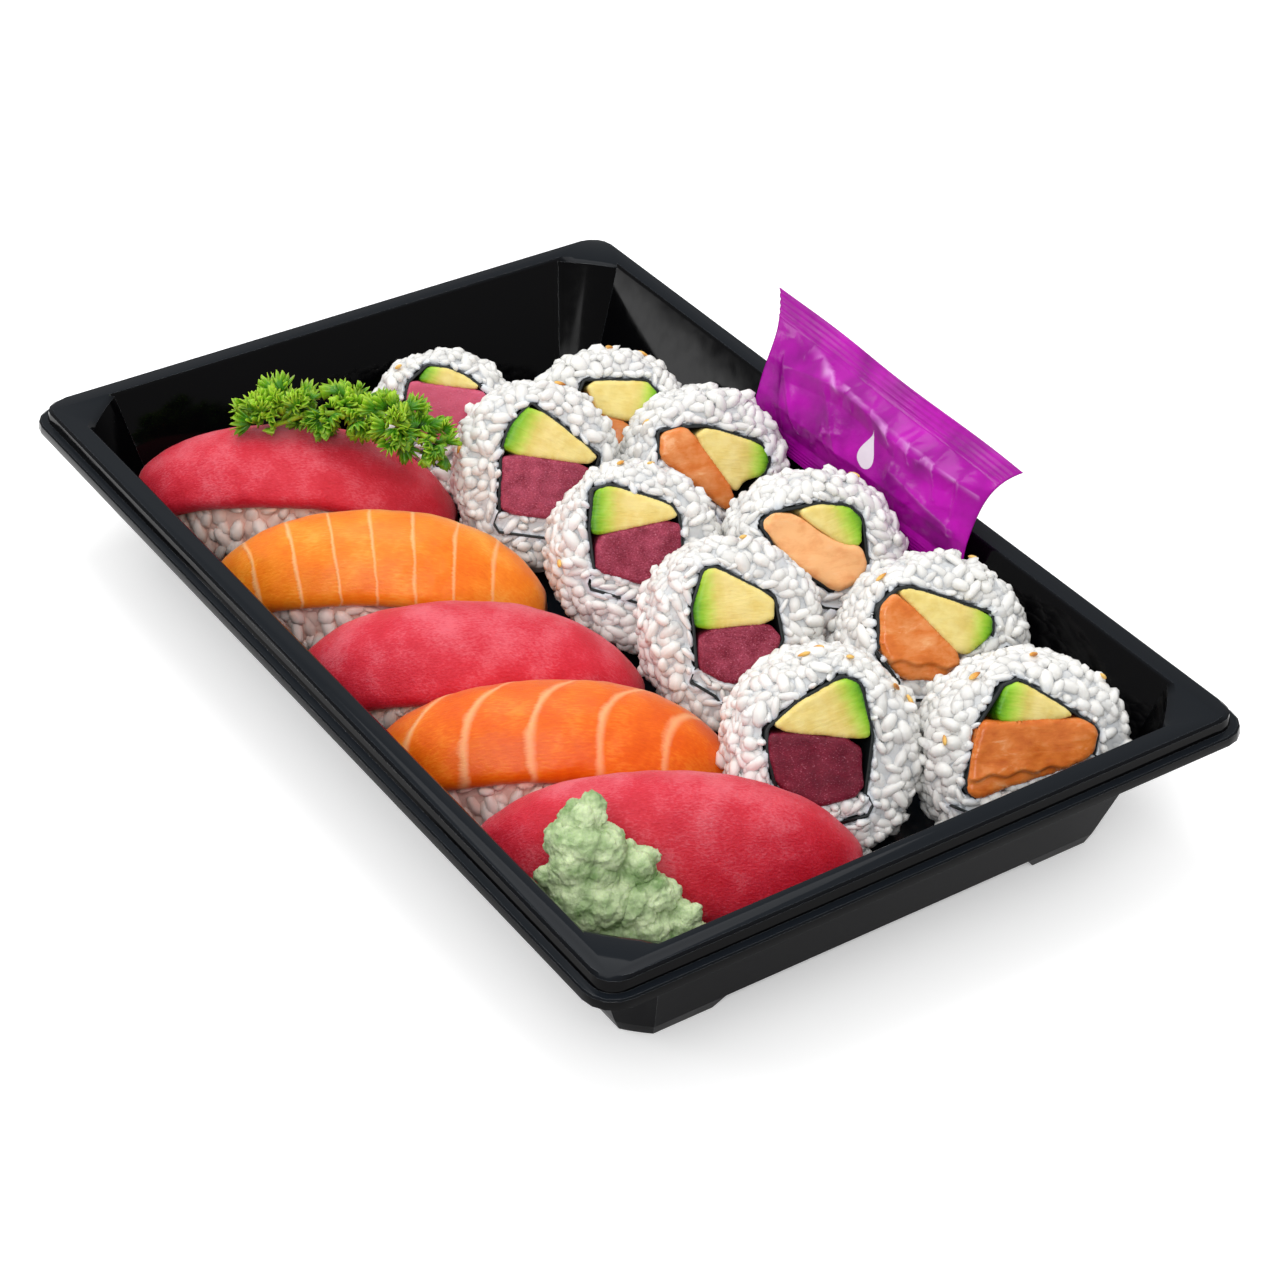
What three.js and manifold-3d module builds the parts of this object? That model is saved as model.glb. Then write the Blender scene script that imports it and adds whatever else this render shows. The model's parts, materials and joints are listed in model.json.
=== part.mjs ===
// Takeaway sushi tray: a black thermoformed tray filled with five nigiri, ten
// inside-out rolls in two columns, a heap of wasabi, a parsley sprig and a soy sachet.
// Millimetres, +Z up. The origin is under the middle of the tray, on the plane that its
// feet stand on. X runs along the short side and -Y is the front short side.
import * as THREE from 'three';
import { mergeVertices } from 'three/addons/utils/BufferGeometryUtils.js';
import Module from 'manifold-3d';

const wasm = await Module();
wasm.setup();

// ---------------------------------------------------------------- driving dimensions
const GAP = 0.3;                                  // air kept between touching pieces

const TRAY = {
  openX: 79.1, openY: 125.4,                      // half sizes of the opening at the rim
  floorX: 64.9, floorY: 112.1,                    // half sizes inside, at foot level
  rimZ: 39.5, wall: 0.9, floorZ: 3.7,
  openCut: 11.8, floorCut: 5,                     // 45 degree corners, at rim and floor
  rimOut: 5.9, rimRadius: 5.5,                    // upper rim: flat width, corner radius
  flangeOut: 8.4, flangeRadius: 7.5, flangeZ: 36.1, lipDrop: 2.3,
  footRise: 2.8, footX: 42.5, footY: 90, footSlope: 2.2,
};

const REST = TRAY.floorZ + GAP;                   // height at which the food lies
const WALL_LEAN_X = (TRAY.openX - TRAY.floorX) / TRAY.rimZ;
const WALL_LEAN_Y = (TRAY.openY - TRAY.floorY) / TRAY.rimZ;

const ROLL = {
  sides: 15, bump: 0.7, noriThick: 0.7, tailRoom: 4.6, reach: 0.5, sag: 0.2,
  front: [[0, 0.73], [1.3, 0.88], [3.6, 0.965], [7, 1]],      // depth, share of the radius
  back: [[0, 0.76], [4.5, 1]],
};

// Cut face: place of its centre, turn about Z and lean back in degrees; half width, half
// height and length; outlines of the fillings on the cut face; nori tail; sesame seeds as
// [angle in degrees, depth behind the cut face]. Listed from the back of the tray.
const ROLLS = [
  { name: 'tuna_roll_1', x: 3.7, y: 79, turn: -24, lean: 32, rx: 19.8, ry: 19.8, length: 24,
    lift: 0, tail: 1, seeds: [[125, 3]], fish: 'tuna',
    avocado: [[-3.5, 15.2], [-6.1, 11.8], [9.5, 8.8], [6.5, 11.5], [1.5, 14.2]],
    filling: [[-8.5, 11.4], [-6, 11.3], [10.1, 8], [10.5, 4], [6.5, -3], [-2.5, -5], [-10.5, 1]] },
  { name: 'salmon_roll_1', x: 41.2, y: 58.4, turn: -22, lean: 34, rx: 22.4, ry: 20.2, length: 22,
    lift: -0.7, tail: -1, seeds: [[85, 4], [60, 9]], fish: 'salmon',
    avocado: [[-5.7, 11.5], [9.8, 10.2], [12.8, 6.5], [10.8, 2.5], [4.8, 0.8], [-2.8, 3.2]],
    filling: [[-6.8, 9.5], [-3.6, 3], [4.4, 0.1], [5.8, -5], [-1.2, -8], [-8.2, -4], [-9.7, 3]] },
  { name: 'tuna_roll_2', x: 11.3, y: 45.1, turn: -24, lean: 32, rx: 21, ry: 22.2, length: 27,
    lift: -1.6, tail: 1, seeds: [[161, 4], [70, 8]], fish: 'tuna',
    avocado: [[-1.3, 16.5], [14.3, 2.6], [11.9, 1], [-9.3, 5.6], [-6.8, 11.5]],
    filling: [[-9.3, 4.9], [11.9, 0.2], [10.7, -6], [3.7, -12.5], [-10.8, -9.5], [-9.9, -2]] },
  { name: 'salmon_roll_2', x: 49.7, y: 24.1, turn: -18, lean: 32, rx: 21.2, ry: 20.8, length: 25,
    lift: 0, tail: 1, seeds: [[139, 3]], fish: 'salmon',
    avocado: [[-0.8, 10], [12.3, 4.2], [14.1, 0.2], [12.3, -3.3], [6.9, -4.2], [4.5, -6.8], [-3.9, 8.2]],
    filling: [[-12.8, 10.2], [-6.8, 10.4], [-4.7, 7.8], [3.9, -7.4], [2.3, -11.8], [-4.9, -3.8],
      [-13.3, 4.2]] },
  { name: 'tuna_roll_3', x: 12.4, y: 0.7, turn: -24, lean: 32, rx: 20.9, ry: 21.2, length: 29,
    lift: -1.3, tail: 1, seeds: [[78, 5], [97, 8], [184, 3]], fish: 'tuna',
    avocado: [[-10.7, 15.3], [-6.7, 16.1], [7.3, 10.5], [8.8, 7.7], [-10.2, 5.3], [-12.2, 5.7]],
    filling: [[-10.2, 4.6], [8.8, 7], [9, -1.5], [2.8, -7.5], [-1.2, -7.5], [-11.7, -3.5], [-11.2, 2]] },
  { name: 'salmon_roll_3', x: 47.4, y: -26.6, turn: -18, lean: 32, rx: 22.2, ry: 21.6, length: 27,
    lift: 0.2, tail: -1, seeds: [[60, 6]], fish: 'salmon',
    avocado: [[-5.8, 12.2], [-0.3, 13], [6.7, 11.6], [9.7, 8.5], [8.7, 2.4], [4.7, 3]],
    filling: [[-14.3, 10.6], [-11.3, 12.4], [-6.8, 11.4], [3.7, 2.8], [8.3, 1.4], [9.5, -3],
      [7.2, -6], [1.2, -7.5], [-6.8, -1], [-12.3, 5]] },
  { name: 'tuna_roll_4', x: 13.1, y: -39, turn: -24, lean: 32, rx: 21.8, ry: 21.4, length: 27,
    lift: 0, tail: 1, seeds: [[81, 5]], fish: 'tuna',
    avocado: [[-7.3, 14.2], [-4.8, 14.5], [8.2, 6.7], [7.8, 1.3], [-10.3, 1.1], [-10.4, 6.5]],
    filling: [[-9.3, 0.4], [6.8, 0.6], [9.4, -3], [5.2, -9.5], [-2.3, -12.3], [-4.8, -11.8], [-10.3, -8]] },
  { name: 'salmon_roll_4', x: 50.5, y: -70.4, turn: -16, lean: 32, rx: 22.8, ry: 22, length: 26,
    lift: -0.9, tail: 1, seeds: [[122, 5], [60, 7]], fish: 'salmon',
    avocado: [[-10.1, 15.2], [-7.1, 15.2], [11.4, 6.2], [10.8, 1.8], [3, -2.1], [-4.6, 8]],
    filling: [[-15, 11.8], [-12, 14.2], [-11, 14.4], [-5.4, 7.4], [2.2, -2.8], [-3.1, -6.2],
      [-11.6, -4.8], [-16.2, 3.2]] },
  { name: 'tuna_roll_5', x: 4.2, y: -87.8, turn: -24, lean: 30, rx: 21.8, ry: 22.2, length: 28,
    lift: -1.8, tail: -1, seeds: [[74, 3], [40, 2], [27, 3], [101, 5], [90, 9]], fish: 'tuna',
    avocado: [[3.2, 16.3], [6.7, 14.5], [8.5, 3.3], [5.7, 3.1], [-13.8, 6.7], [-6.8, 11.9]],
    filling: [[-14.1, 5.8], [5.9, 2.3], [5.9, -9.7], [-5.3, -11.7], [-12.9, -6.2], [-14.3, 1.8]] },
  { name: 'salmon_roll_5', x: 43.6, y: -112.3, turn: -20, lean: 30, rx: 24.4, ry: 22.4, length: 27,
    lift: -2.6, tail: -1, seeds: [[120, 4], [85, 4], [43, 4], [162, 1.5]], fish: 'salmon',
    avocado: [[-6.8, 16.2], [-3.3, 17], [8.3, 8.4], [4.7, 7.9], [-8.3, 8.9], [-9.1, 11]],
    filling: [[-12.7, 9], [-8.8, 8.1], [9.1, 7.3], [13.3, 4], [11.7, -1], [0.7, -4.4],
      [-7.3, -5], [-15.4, -7], [-17.2, -5.2], [-15.2, 2]] },
];

const SLICE = { thick: 7, edge: 3.6, rows: 8, cols: 5 };
const BALL = { halfLength: 33, halfWidth: 14, sides: 14 };

// Nigiri: middle of the piece, turn of its long axis from +X, half length and width of the slice,
// height of its crest, how far it falls at the left and right ends and at its long edges,
// and its fish. Listed from the back of the tray.
const NIGIRI = [
  { name: 'nigiri_1', x: -36.5, y: 86.2, turn: -36, long: 41, half: 16.6, crest: 38, left: 14,
    right: 22, drape: 10, fish: 'tuna' },
  { name: 'nigiri_2', x: -38, y: 40.5, turn: -34.5, long: 41, half: 16.6, crest: 38.5, left: 16,
    right: 22, drape: 13, fish: 'salmon' },
  { name: 'nigiri_3', x: -38.6, y: -4.1, turn: -34, long: 41, half: 17, crest: 38, left: 15,
    right: 22, drape: 14, fish: 'tuna' },
  { name: 'nigiri_4', x: -38.4, y: -40, turn: -31, long: 41, half: 16.6, crest: 37, left: 14,
    right: 20, drape: 12, fish: 'salmon' },
  { name: 'nigiri_5', x: -35.2, y: -81.6, turn: -33, long: 43.5, half: 18.6, crest: 38, left: 16,
    right: 20, drape: 25, fish: 'tuna' },
];

// Wasabi: one main mound and a lower lobe, as balls [x, y, z, radius].
const WASABI = [
  [-62, -94, 13, 10], [-62.5, -90.5, 24, 10.2], [-61.5, -88, 33.5, 8.8],
  [-60.4, -85.5, 40.8, 5.4], [-59, -84.4, 44, 2.4], [-53.5, -98, 20, 9], [-48.5, -103.5, 13, 8.2],
  [-46.5, -104.5, 20, 5], [-68.5, -88, 30, 4.6], [-54, -92.5, 29.5, 6.6],
];

const SPRIG = {
  thick: 0.8, stem: 1.6, spread: 62, ribs: 3, ruffle: 1.4, facing: [-0.35, -0.5, 0.8],
  path: [[-42, 91, 36], [-40, 90, 40], [-33, 86, 43], [-24, 77, 45], [-18, 68, 45],
    [-12, 58, 43]],
};
// Parsley leaflets: foot of the fan on the stem [x, y, z], the way it points as turn and
// pitch in degrees, and its length.
const LEAFLETS = [
  [-41.9, 91, 38.4, 155, 62, 11.5], [-40, 90, 40.2, 60, 58, 11.5], [-36.5, 88, 41.6, 35, 20, 10],
  [-32, 85.2, 43.2, 95, 16, 9], [-28.5, 82, 44.2, -118, 4, 8.5], [-25, 78, 44.9, 60, 22, 9.5],
  [-22, 74.2, 45.1, -128, -6, 9], [-19, 69.6, 45.1, 54, 24, 9.5], [-17, 66, 44.8, -116, -12, 9],
  [-14, 61.4, 43.9, 34, 14, 9], [-12.8, 59.4, 43.3, -92, -16, 9],
];

// Soy sachet: a pillow pack on edge between the rolls and the right wall, leaning out over
// the rim. Its middle line climbs through these [x, z] points.
const SACHET = {
  line: [[73.6, 27.5], [74.5, 35], [76.2, 43.5], [80, 52], [85.6, 62.5]],
  y: -2, halfLength: 43, flare: 5, halfThick: 4.4, film: 0.4, seal: 0.16, sink: 3,
  rows: 8, cols: 10,
};

const LOOK = {
  tray: ['#0c0d0f', 0.25, 0], rice: ['#ecebe4', 0.5, 0], nori: ['#10161a', 0.6, 0],
  tuna: ['#b8263c', 0.35, 0], tunaCut: ['#6d1f33', 0.4, 0], salmon: ['#f28a35', 0.35, 0],
  salmonCut: ['#d07436', 0.3, 0], avocado: ['#d8d468', 0.45, 0], wasabi: ['#b5cf93', 0.8, 0],
  parsley: ['#4c8f1e', 0.6, 0], sachet: ['#a5129c', 0.35, 0],
};

// ---------------------------------------------------------------- shape building
const rad = THREE.MathUtils.degToRad;
const lerp = THREE.MathUtils.lerp;

// Repeatable random numbers between -1 and 1.
function dice(seed) {
  let state = seed;
  return () => {
    state = (state * 1664525 + 1013904223) >>> 0;
    return state / 2147483648 - 1;
  };
}

function geometryOf(points, faces) {
  const geometry = new THREE.BufferGeometry();
  geometry.setAttribute('position', new THREE.Float32BufferAttribute(points.flat(), 3));
  geometry.setIndex(faces.flat());
  return geometry;
}

// A skin over a stack of rings, closed at both ends. Each ring holds the same number of
// points, counter-clockwise as seen from the end that the stack climbs to.
function stackedRings(rings) {
  const count = rings[0].length;
  const middle = (ring) => [0, 1, 2].map((k) => ring.reduce((sum, p) => sum + p[k], 0) / count);
  const points = rings.flat();
  const faces = [];
  for (let r = 0; r + 1 < rings.length; r += 1) {
    for (let i = 0; i < count; i += 1) {
      const a = r * count + i;
      const b = r * count + (i + 1) % count;
      faces.push([a, b, b + count], [a, b + count, a + count]);
    }
  }
  points.push(middle(rings[0]), middle(rings.at(-1)));
  const last = (rings.length - 1) * count;
  for (let i = 0; i < count; i += 1) {
    const next = (i + 1) % count;
    faces.push([points.length - 2, next, i], [points.length - 1, last + i, last + next]);
  }
  return geometryOf(points, faces);
}

// A plate between two surfaces over the square -1..1 by -1..1, both split alike.
function plate(rows, cols, top, bottom) {
  const points = [];
  const faces = [];
  for (const surface of [top, bottom]) {
    for (let i = 0; i <= rows; i += 1) {
      for (let j = 0; j <= cols; j += 1) {
        points.push(surface(2 * i / rows - 1, 2 * j / cols - 1));
      }
    }
  }
  const at = (i, j) => i * (cols + 1) + j;
  const under = (rows + 1) * (cols + 1);
  for (let i = 0; i < rows; i += 1) {
    for (let j = 0; j < cols; j += 1) {
      const [a, b, c, d] = [at(i, j), at(i + 1, j), at(i + 1, j + 1), at(i, j + 1)];
      faces.push([a, b, c], [a, c, d]);
      faces.push([a + under, c + under, b + under], [a + under, d + under, c + under]);
    }
  }
  const edge = [];
  for (let i = 0; i < rows; i += 1) edge.push(at(i, 0));
  for (let j = 0; j < cols; j += 1) edge.push(at(rows, j));
  for (let i = rows; i > 0; i -= 1) edge.push(at(i, cols));
  for (let j = cols; j > 0; j -= 1) edge.push(at(0, j));
  edge.forEach((a, k) => {
    const b = edge[(k + 1) % edge.length];
    faces.push([a, a + under, b + under], [a, b + under, b]);
  });
  return geometryOf(points, faces);
}

function solidOf(geometry) {
  const bare = geometry.clone();
  bare.deleteAttribute('normal');
  bare.deleteAttribute('uv');
  const merged = mergeVertices(bare, 1e-4);
  return new wasm.Manifold(new wasm.Mesh({
    numProp: 3,
    vertProperties: new Float32Array(merged.getAttribute('position').array),
    triVerts: new Uint32Array(merged.getIndex().array),
  }));
}

function geometryFrom(solid) {
  const { vertProperties, triVerts } = solid.getMesh();
  const geometry = new THREE.BufferGeometry();
  geometry.setAttribute('position', new THREE.BufferAttribute(vertProperties, 3));
  geometry.setIndex(new THREE.BufferAttribute(triVerts, 1));
  geometry.computeVertexNormals();
  return geometry;
}

// The largest piece left after a cut, without the slivers that cuts leave.
function largest(solid, sliver = 0.08) {
  const pieces = solid.simplify(sliver).decompose();
  pieces.sort((a, b) => b.volume() - a.volume());
  return pieces[0];
}

const group = new THREE.Group();

function addMesh(name, look, solid, parent = group) {
  const [color, roughness, metalness] = LOOK[look];
  const material = new THREE.MeshStandardMaterial({ color, roughness, metalness });
  const mesh = new THREE.Mesh(geometryFrom(solid), material);
  mesh.name = name;
  parent.add(mesh);
}

// ---------------------------------------------------------------- tray
// A rounded or bevelled rectangle as one ring: round 0 is a straight 45 degree corner.
function trayRing(halfX, halfY, z, corner, round) {
  const steps = 4;
  const ring = [];
  for (let quarter = 0; quarter < 4; quarter += 1) {
    const sx = quarter === 0 || quarter === 3 ? 1 : -1;
    const sy = quarter < 2 ? 1 : -1;
    for (let i = 0; i <= steps; i += 1) {
      const share = quarter % 2 === 0 ? i / steps : 1 - i / steps;
      const dx = corner * lerp(1 - share, Math.cos(share * Math.PI / 2), round);
      const dy = corner * lerp(share, Math.sin(share * Math.PI / 2), round);
      ring.push([sx * (halfX - corner + dx), sy * (halfY - corner + dy), z]);
    }
  }
  return ring;
}

// A ring of the sloping wall, moved outwards from the inner face.
function wallRing(z, out) {
  const corner = lerp(TRAY.floorCut, TRAY.openCut, z / TRAY.rimZ);
  const halfX = TRAY.floorX + WALL_LEAN_X * z + out;
  const halfY = TRAY.floorY + WALL_LEAN_Y * z + out;
  return trayRing(halfX, halfY, z, corner + 0.59 * out, 0.12);
}

function flangeRing(out, z) {
  const share = THREE.MathUtils.clamp(out / TRAY.rimOut, 0, 1);
  const corner = lerp(TRAY.openCut, out > TRAY.rimOut + 1 ? TRAY.flangeRadius : TRAY.rimRadius,
    share);
  return trayRing(TRAY.openX + out, TRAY.openY + out, z, corner, lerp(0.12, 1, share));
}

// Block over one corner of the base, its two inner sides sloping up to the base.
function footBlock(sx, sy, shrink, bottom, top) {
  const ring = (z) => {
    const slope = TRAY.footSlope * (1 - z / TRAY.footRise);
    const xs = [TRAY.footX + shrink + slope, 80];
    const ys = [TRAY.footY + shrink + slope, 130];
    const corners = [[xs[0], ys[0]], [xs[1], ys[0]], [xs[1], ys[1]], [xs[0], ys[1]]];
    const ordered = sx * sy > 0 ? corners : corners.reverse();
    return ordered.map(([x, y]) => [sx * x, sy * y, z]);
  };
  return solidOf(stackedRings([ring(bottom), ring(top)]));
}

function traySolid() {
  const { rimZ, wall, floorZ, footRise, flangeZ, lipDrop, rimOut, flangeOut } = TRAY;
  const skirt = [
    wallRing(footRise, wall - 0.8), wallRing(footRise + 0.5, wall),
    wallRing(rimZ - 1.6, wall),
    flangeRing(rimOut - 1.1, rimZ - wall), flangeRing(rimOut - 0.7, flangeZ - wall),
    flangeRing(flangeOut - wall, flangeZ - wall), flangeRing(flangeOut - 0.7, flangeZ - lipDrop),
    flangeRing(flangeOut + 0.2, flangeZ - lipDrop), flangeRing(flangeOut, flangeZ - 0.3),
    flangeRing(flangeOut - 0.4, flangeZ), flangeRing(rimOut + 0.3, flangeZ),
    flangeRing(rimOut, rimZ - 0.6), flangeRing(rimOut - 0.6, rimZ),
    flangeRing(0.7, rimZ), flangeRing(0, rimZ - 0.7),
    wallRing(floorZ + 3, 0), wallRing(floorZ + 0.8, -0.8), wallRing(floorZ, -2.8),
  ];
  const dish = solidOf(stackedRings(skirt));
  const footOuter = solidOf(stackedRings([wallRing(0, wall - 0.3), wallRing(3.4, wall)]));
  const footInner = solidOf(stackedRings([wallRing(wall, -1), wallRing(floorZ + 0.6, -1)]));
  let solid = dish;
  for (const sx of [1, -1]) {
    for (const sy of [1, -1]) {
      solid = solid.add(footBlock(sx, sy, 0, 0, 3.3).intersect(footOuter));
    }
  }
  for (const sx of [1, -1]) {
    for (const sy of [1, -1]) {
      solid = solid.subtract(footInner.intersect(footBlock(sx, sy, 1.4, 0, 5)));
    }
  }
  return solid;
}

// The room inside the tray that its contents may fill. Above the rim it widens by a
// set overhang.
function trayRoom(overhang) {
  const { rimZ } = TRAY;
  return solidOf(stackedRings([
    wallRing(REST, -3 - GAP), wallRing(REST + 0.8, -0.9 - GAP), wallRing(REST + 3, -GAP),
    wallRing(rimZ + GAP, -GAP), wallRing(rimZ + GAP + 0.01, overhang - GAP),
    wallRing(110, overhang - GAP),
  ]));
}

const room = trayRoom(0);
addMesh('tray', 'tray', traySolid());

// ---------------------------------------------------------------- nigiri
// A point on top of the slice, for a share -1..1 along and across it.
function sliceTop(piece, s, t) {
  const fall = (s < 0 ? piece.left : piece.right) * (0.72 * Math.abs(s) ** 2.1 + 0.28 * s ** 6);
  const drop = piece.drape * Math.abs(t) ** 2.3 * (1 - 0.2 * s * s);
  const half = piece.half * (1 - 0.16 * s * s - 0.26 * s ** 4);
  return [s * piece.long, t * half, piece.crest - fall - drop];
}

function sliceBottom(piece, s, t) {
  const [x, y, z] = sliceTop(piece, s, t);
  const thick = lerp(SLICE.thick, SLICE.edge, Math.max(t ** 4, 0.8 * s ** 4));
  return [0.97 * x, 0.86 * y, z - thick];
}

// The room over a slice's underside, widened past its edges, with a gap below it.
function overSlice(piece) {
  const rows = SLICE.rows + 2;
  const cols = SLICE.cols + 2;
  const under = (s, t) => {
    const [along, across] = [s * rows / SLICE.rows, t * cols / SLICE.cols];
    const clamp = (share) => THREE.MathUtils.clamp(share, -1, 1);
    const [x, y, z] = sliceBottom(piece, clamp(along), clamp(across));
    return [x + 60 * (along - clamp(along)), y + 30 * (across - clamp(across)), z - 1.5 * GAP];
  };
  return solidOf(plate(rows, cols, (s, t) => [under(s, t)[0], under(s, t)[1], 80], under));
}

// The hand-pressed ball of rice: an oval block with grain-sized bumps.
function ricePad(bump, seed) {
  const random = dice(seed);
  const levels = [[REST, 0.9], [REST + 5, 1.02], [REST + 13, 1], [36, 0.84]];
  return solidOf(stackedRings(levels.map(([z, share], k) => {
    const ring = [];
    for (let i = 0; i < BALL.sides; i += 1) {
      const angle = 2 * Math.PI * (i + 0.5 * (k % 2)) / BALL.sides;
      const [c, s] = [Math.cos(angle), Math.sin(angle)];
      const push = bump * random();
      ring.push([Math.sign(c) * (BALL.halfLength * share * Math.abs(c) ** 0.75 + push),
        Math.sign(s) * (BALL.halfWidth * share * Math.abs(s) ** 0.75 + push), z]);
    }
    return ring;
  })));
}

function placedIn(frame, solid) {
  return solid.transform(frame.matrix.elements);
}

function backIn(frame, solid) {
  return solid.transform(frame.matrix.clone().invert().elements);
}

// What later pieces keep clear of, in tray coordinates: smooth convex shells.
const keepClear = [];

// The convex shell round a solid, a little larger than it on every side.
function shellRound(solid, clear) {
  const shell = solid.hull();
  const { min, max } = shell.boundingBox();
  const middle = min.map((low, k) => (low + max[k]) / 2);
  const size = min.map((low, k) => (max[k] - low) / 2);
  return shell.translate(middle.map((m) => -m)).scale(size.map((half) => 1 + clear / half))
    .translate(middle);
}

// A solid given in a piece's own frame, cut back to the tray's room and to what is
// already in it.
function fitIn(frame, solid, sliver) {
  const free = keepClear.reduce((left, shell) => left.subtract(shell),
    placedIn(frame, solid).intersect(room));
  return largest(backIn(frame, free), sliver);
}

function buildNigiri(piece, index) {
  const frame = new THREE.Group();
  frame.position.set(piece.x, piece.y, 0);
  frame.rotation.z = rad(piece.turn);
  frame.updateMatrix();
  group.add(frame);
  const slice = fitIn(frame, solidOf(plate(SLICE.rows, SLICE.cols,
    (s, t) => sliceTop(piece, s, t), (s, t) => sliceBottom(piece, s, t))));
  const rice = fitIn(frame, ricePad(0.6, 11 + index).subtract(overSlice(piece)), 0.15);
  addMesh(`${piece.name}_rice`, 'rice', rice, frame);
  addMesh(`${piece.name}_${piece.fish}`, piece.fish, slice, frame);
  keepClear.push(placedIn(frame, shellRound(slice.add(rice), 2 * GAP)));
}

NIGIRI.forEach(buildNigiri);

// ---------------------------------------------------------------- soy sachet
function sachetSurface(side) {
  const curve = new THREE.CatmullRomCurve3(
    SACHET.line.map(([x, z]) => new THREE.Vector3(x, 0, z)));
  return (s, t) => {
    const climb = (s + 1) / 2;
    const at = curve.getPoint(climb);
    const run = curve.getTangent(climb);
    const inside = THREE.MathUtils.clamp(Math.min(climb, 1 - climb) / SACHET.seal - 1, 0, 1);
    const ends = 1 - Math.abs(t) ** 3;
    const fill = Math.sqrt(inside) * ends;
    const thick = SACHET.film + SACHET.halfThick * fill;
    const flare = SACHET.flare * Math.abs(2 * climb - 1) ** 4;
    const y = SACHET.y + t * (SACHET.halfLength + flare);
    const slope = SACHET.sink * (1 - (t + 1) / 2) * climb ** 2;
    return [at.x - side * thick * run.z, y, at.z + side * thick * run.x - slope];
  };
}

const sachet = largest(solidOf(plate(SACHET.rows, SACHET.cols, sachetSurface(1),
  sachetSurface(-1))).intersect(trayRoom(12)));
addMesh('soy_sachet', 'sachet', sachet);
// Nothing is packed between the sachet and the wall behind it.
keepClear.push(shellRound(sachet.add(sachet.translate([12, 0, 0])), 3 * GAP));

// ---------------------------------------------------------------- rolls
// The roll's outer body along local Z, its cut face at z = 0 and the rest behind it. Its
// lower half is fuller, as the soft rice settles.
function barrel(roll, bump, seed) {
  const random = dice(seed);
  const levels = [
    ...ROLL.back.map(([depth, share]) => [depth - roll.length, share]),
    ...ROLL.front.map(([depth, share]) => [-depth, share]).toReversed(),
  ];
  const rings = levels.map(([z, share], k) => {
    const ring = [];
    for (let i = 0; i < ROLL.sides; i += 1) {
      const angle = 2 * Math.PI * (i + 0.5 * (k % 2)) / ROLL.sides;
      const push = bump * random();
      const fuller = Math.sin(angle) < 0 ? 1 + ROLL.sag : 1;
      ring.push([(roll.rx * share + push) * Math.cos(angle),
        (roll.ry * share + push) * Math.sin(angle) * fuller, z]);
    }
    return ring;
  });
  return solidOf(stackedRings(rings));
}

function seedSolid(roll, [angle, depth], spin) {
  const after = ROLL.front.findIndex(([stop]) => stop >= depth);
  const [[d0, s0], [d1, s1]] = after < 0 ? [[0, 1], [1, 1]]
    : ROLL.front.slice(after - 1, after + 1);
  const share = lerp(s0, s1, (depth - d0) / (d1 - d0));
  const geometry = new THREE.OctahedronGeometry(1);
  geometry.scale(2.1, 1, 0.8);
  geometry.rotateZ(rad(spin));
  geometry.rotateY(Math.PI / 2);
  geometry.rotateZ(rad(angle));
  geometry.translate(roll.rx * share * Math.cos(rad(angle)),
    roll.ry * share * Math.sin(rad(angle)), -depth);
  return solidOf(geometry);
}

// Corners of the convex outline round a set of points, counter-clockwise.
function hullOf(points) {
  const sorted = [...points].sort((a, b) => a[0] - b[0] || a[1] - b[1]);
  const half = (list) => {
    const chain = [];
    for (const p of list) {
      while (chain.length > 1) {
        const [a, b] = [chain.at(-2), chain.at(-1)];
        if ((b[0] - a[0]) * (p[1] - a[1]) - (b[1] - a[1]) * (p[0] - a[0]) > 0) break;
        chain.pop();
      }
      chain.push(p);
    }
    return chain.slice(0, -1);
  };
  return [...half(sorted), ...half(sorted.toReversed())];
}

// The point a set distance outside the hull, in the direction of an angle.
function outside(hull, angle, distance) {
  const [c, s] = [Math.cos(rad(angle)), Math.sin(rad(angle))];
  const far = hull.reduce((best, p) => (p[0] * c + p[1] * s > best[0] * c + best[1] * s ? p : best));
  return [far[0] + distance * c, far[1] + distance * s];
}

// Directions that catch every corner of the hull between two angles, in order.
function cornerAngles(hull, from, to) {
  return hull.flatMap(([x, y], i) => {
    const [nx, ny] = hull[(i + 1) % hull.length];
    const normal = THREE.MathUtils.radToDeg(Math.atan2(ny - y, nx - x)) - 90;
    return [-360, 0, 360].flatMap((round) => [normal + round - 0.4, normal + round + 0.4]);
  }).filter((angle) => angle > from && angle < to).sort((a, b) => a - b);
}

// The nori as one open strip: it hugs the fillings from below their free corner, goes once
// round, then swings out over the tail of rice that was rolled in. Both of its ends may be
// drawn out by an extra length.
function noriOutline(hull, thick, extra) {
  const [from, to] = [-55, 318];
  const swings = [205, 232, 260];
  const angles = [from, ...cornerAngles(hull, from + 8, to - 8), ...swings, to]
    .sort((a, b) => a - b);
  const side = (shift) => angles.map((angle) => {
    const swing = THREE.MathUtils.smoothstep(angle, 185, 262) * ROLL.tailRoom;
    const away = Math.max(0.06, GAP + ROLL.noriThick / 2 + swing + shift);
    const [x, y] = outside(hull, angle, away);
    const along = (angle === to) * extra - (angle === from) * extra;
    return [x - along * Math.sin(rad(angle)), y + along * Math.cos(rad(angle))];
  });
  return [...side(thick / 2), ...side(-thick / 2).toReversed()];
}

function prism(outline, front, back) {
  const shape = new THREE.Shape(outline.map(([x, y]) => new THREE.Vector2(x, y)));
  const geometry = new THREE.ExtrudeGeometry(shape, { depth: front + back, bevelEnabled: false });
  geometry.translate(0, 0, -back);
  return solidOf(geometry);
}

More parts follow.
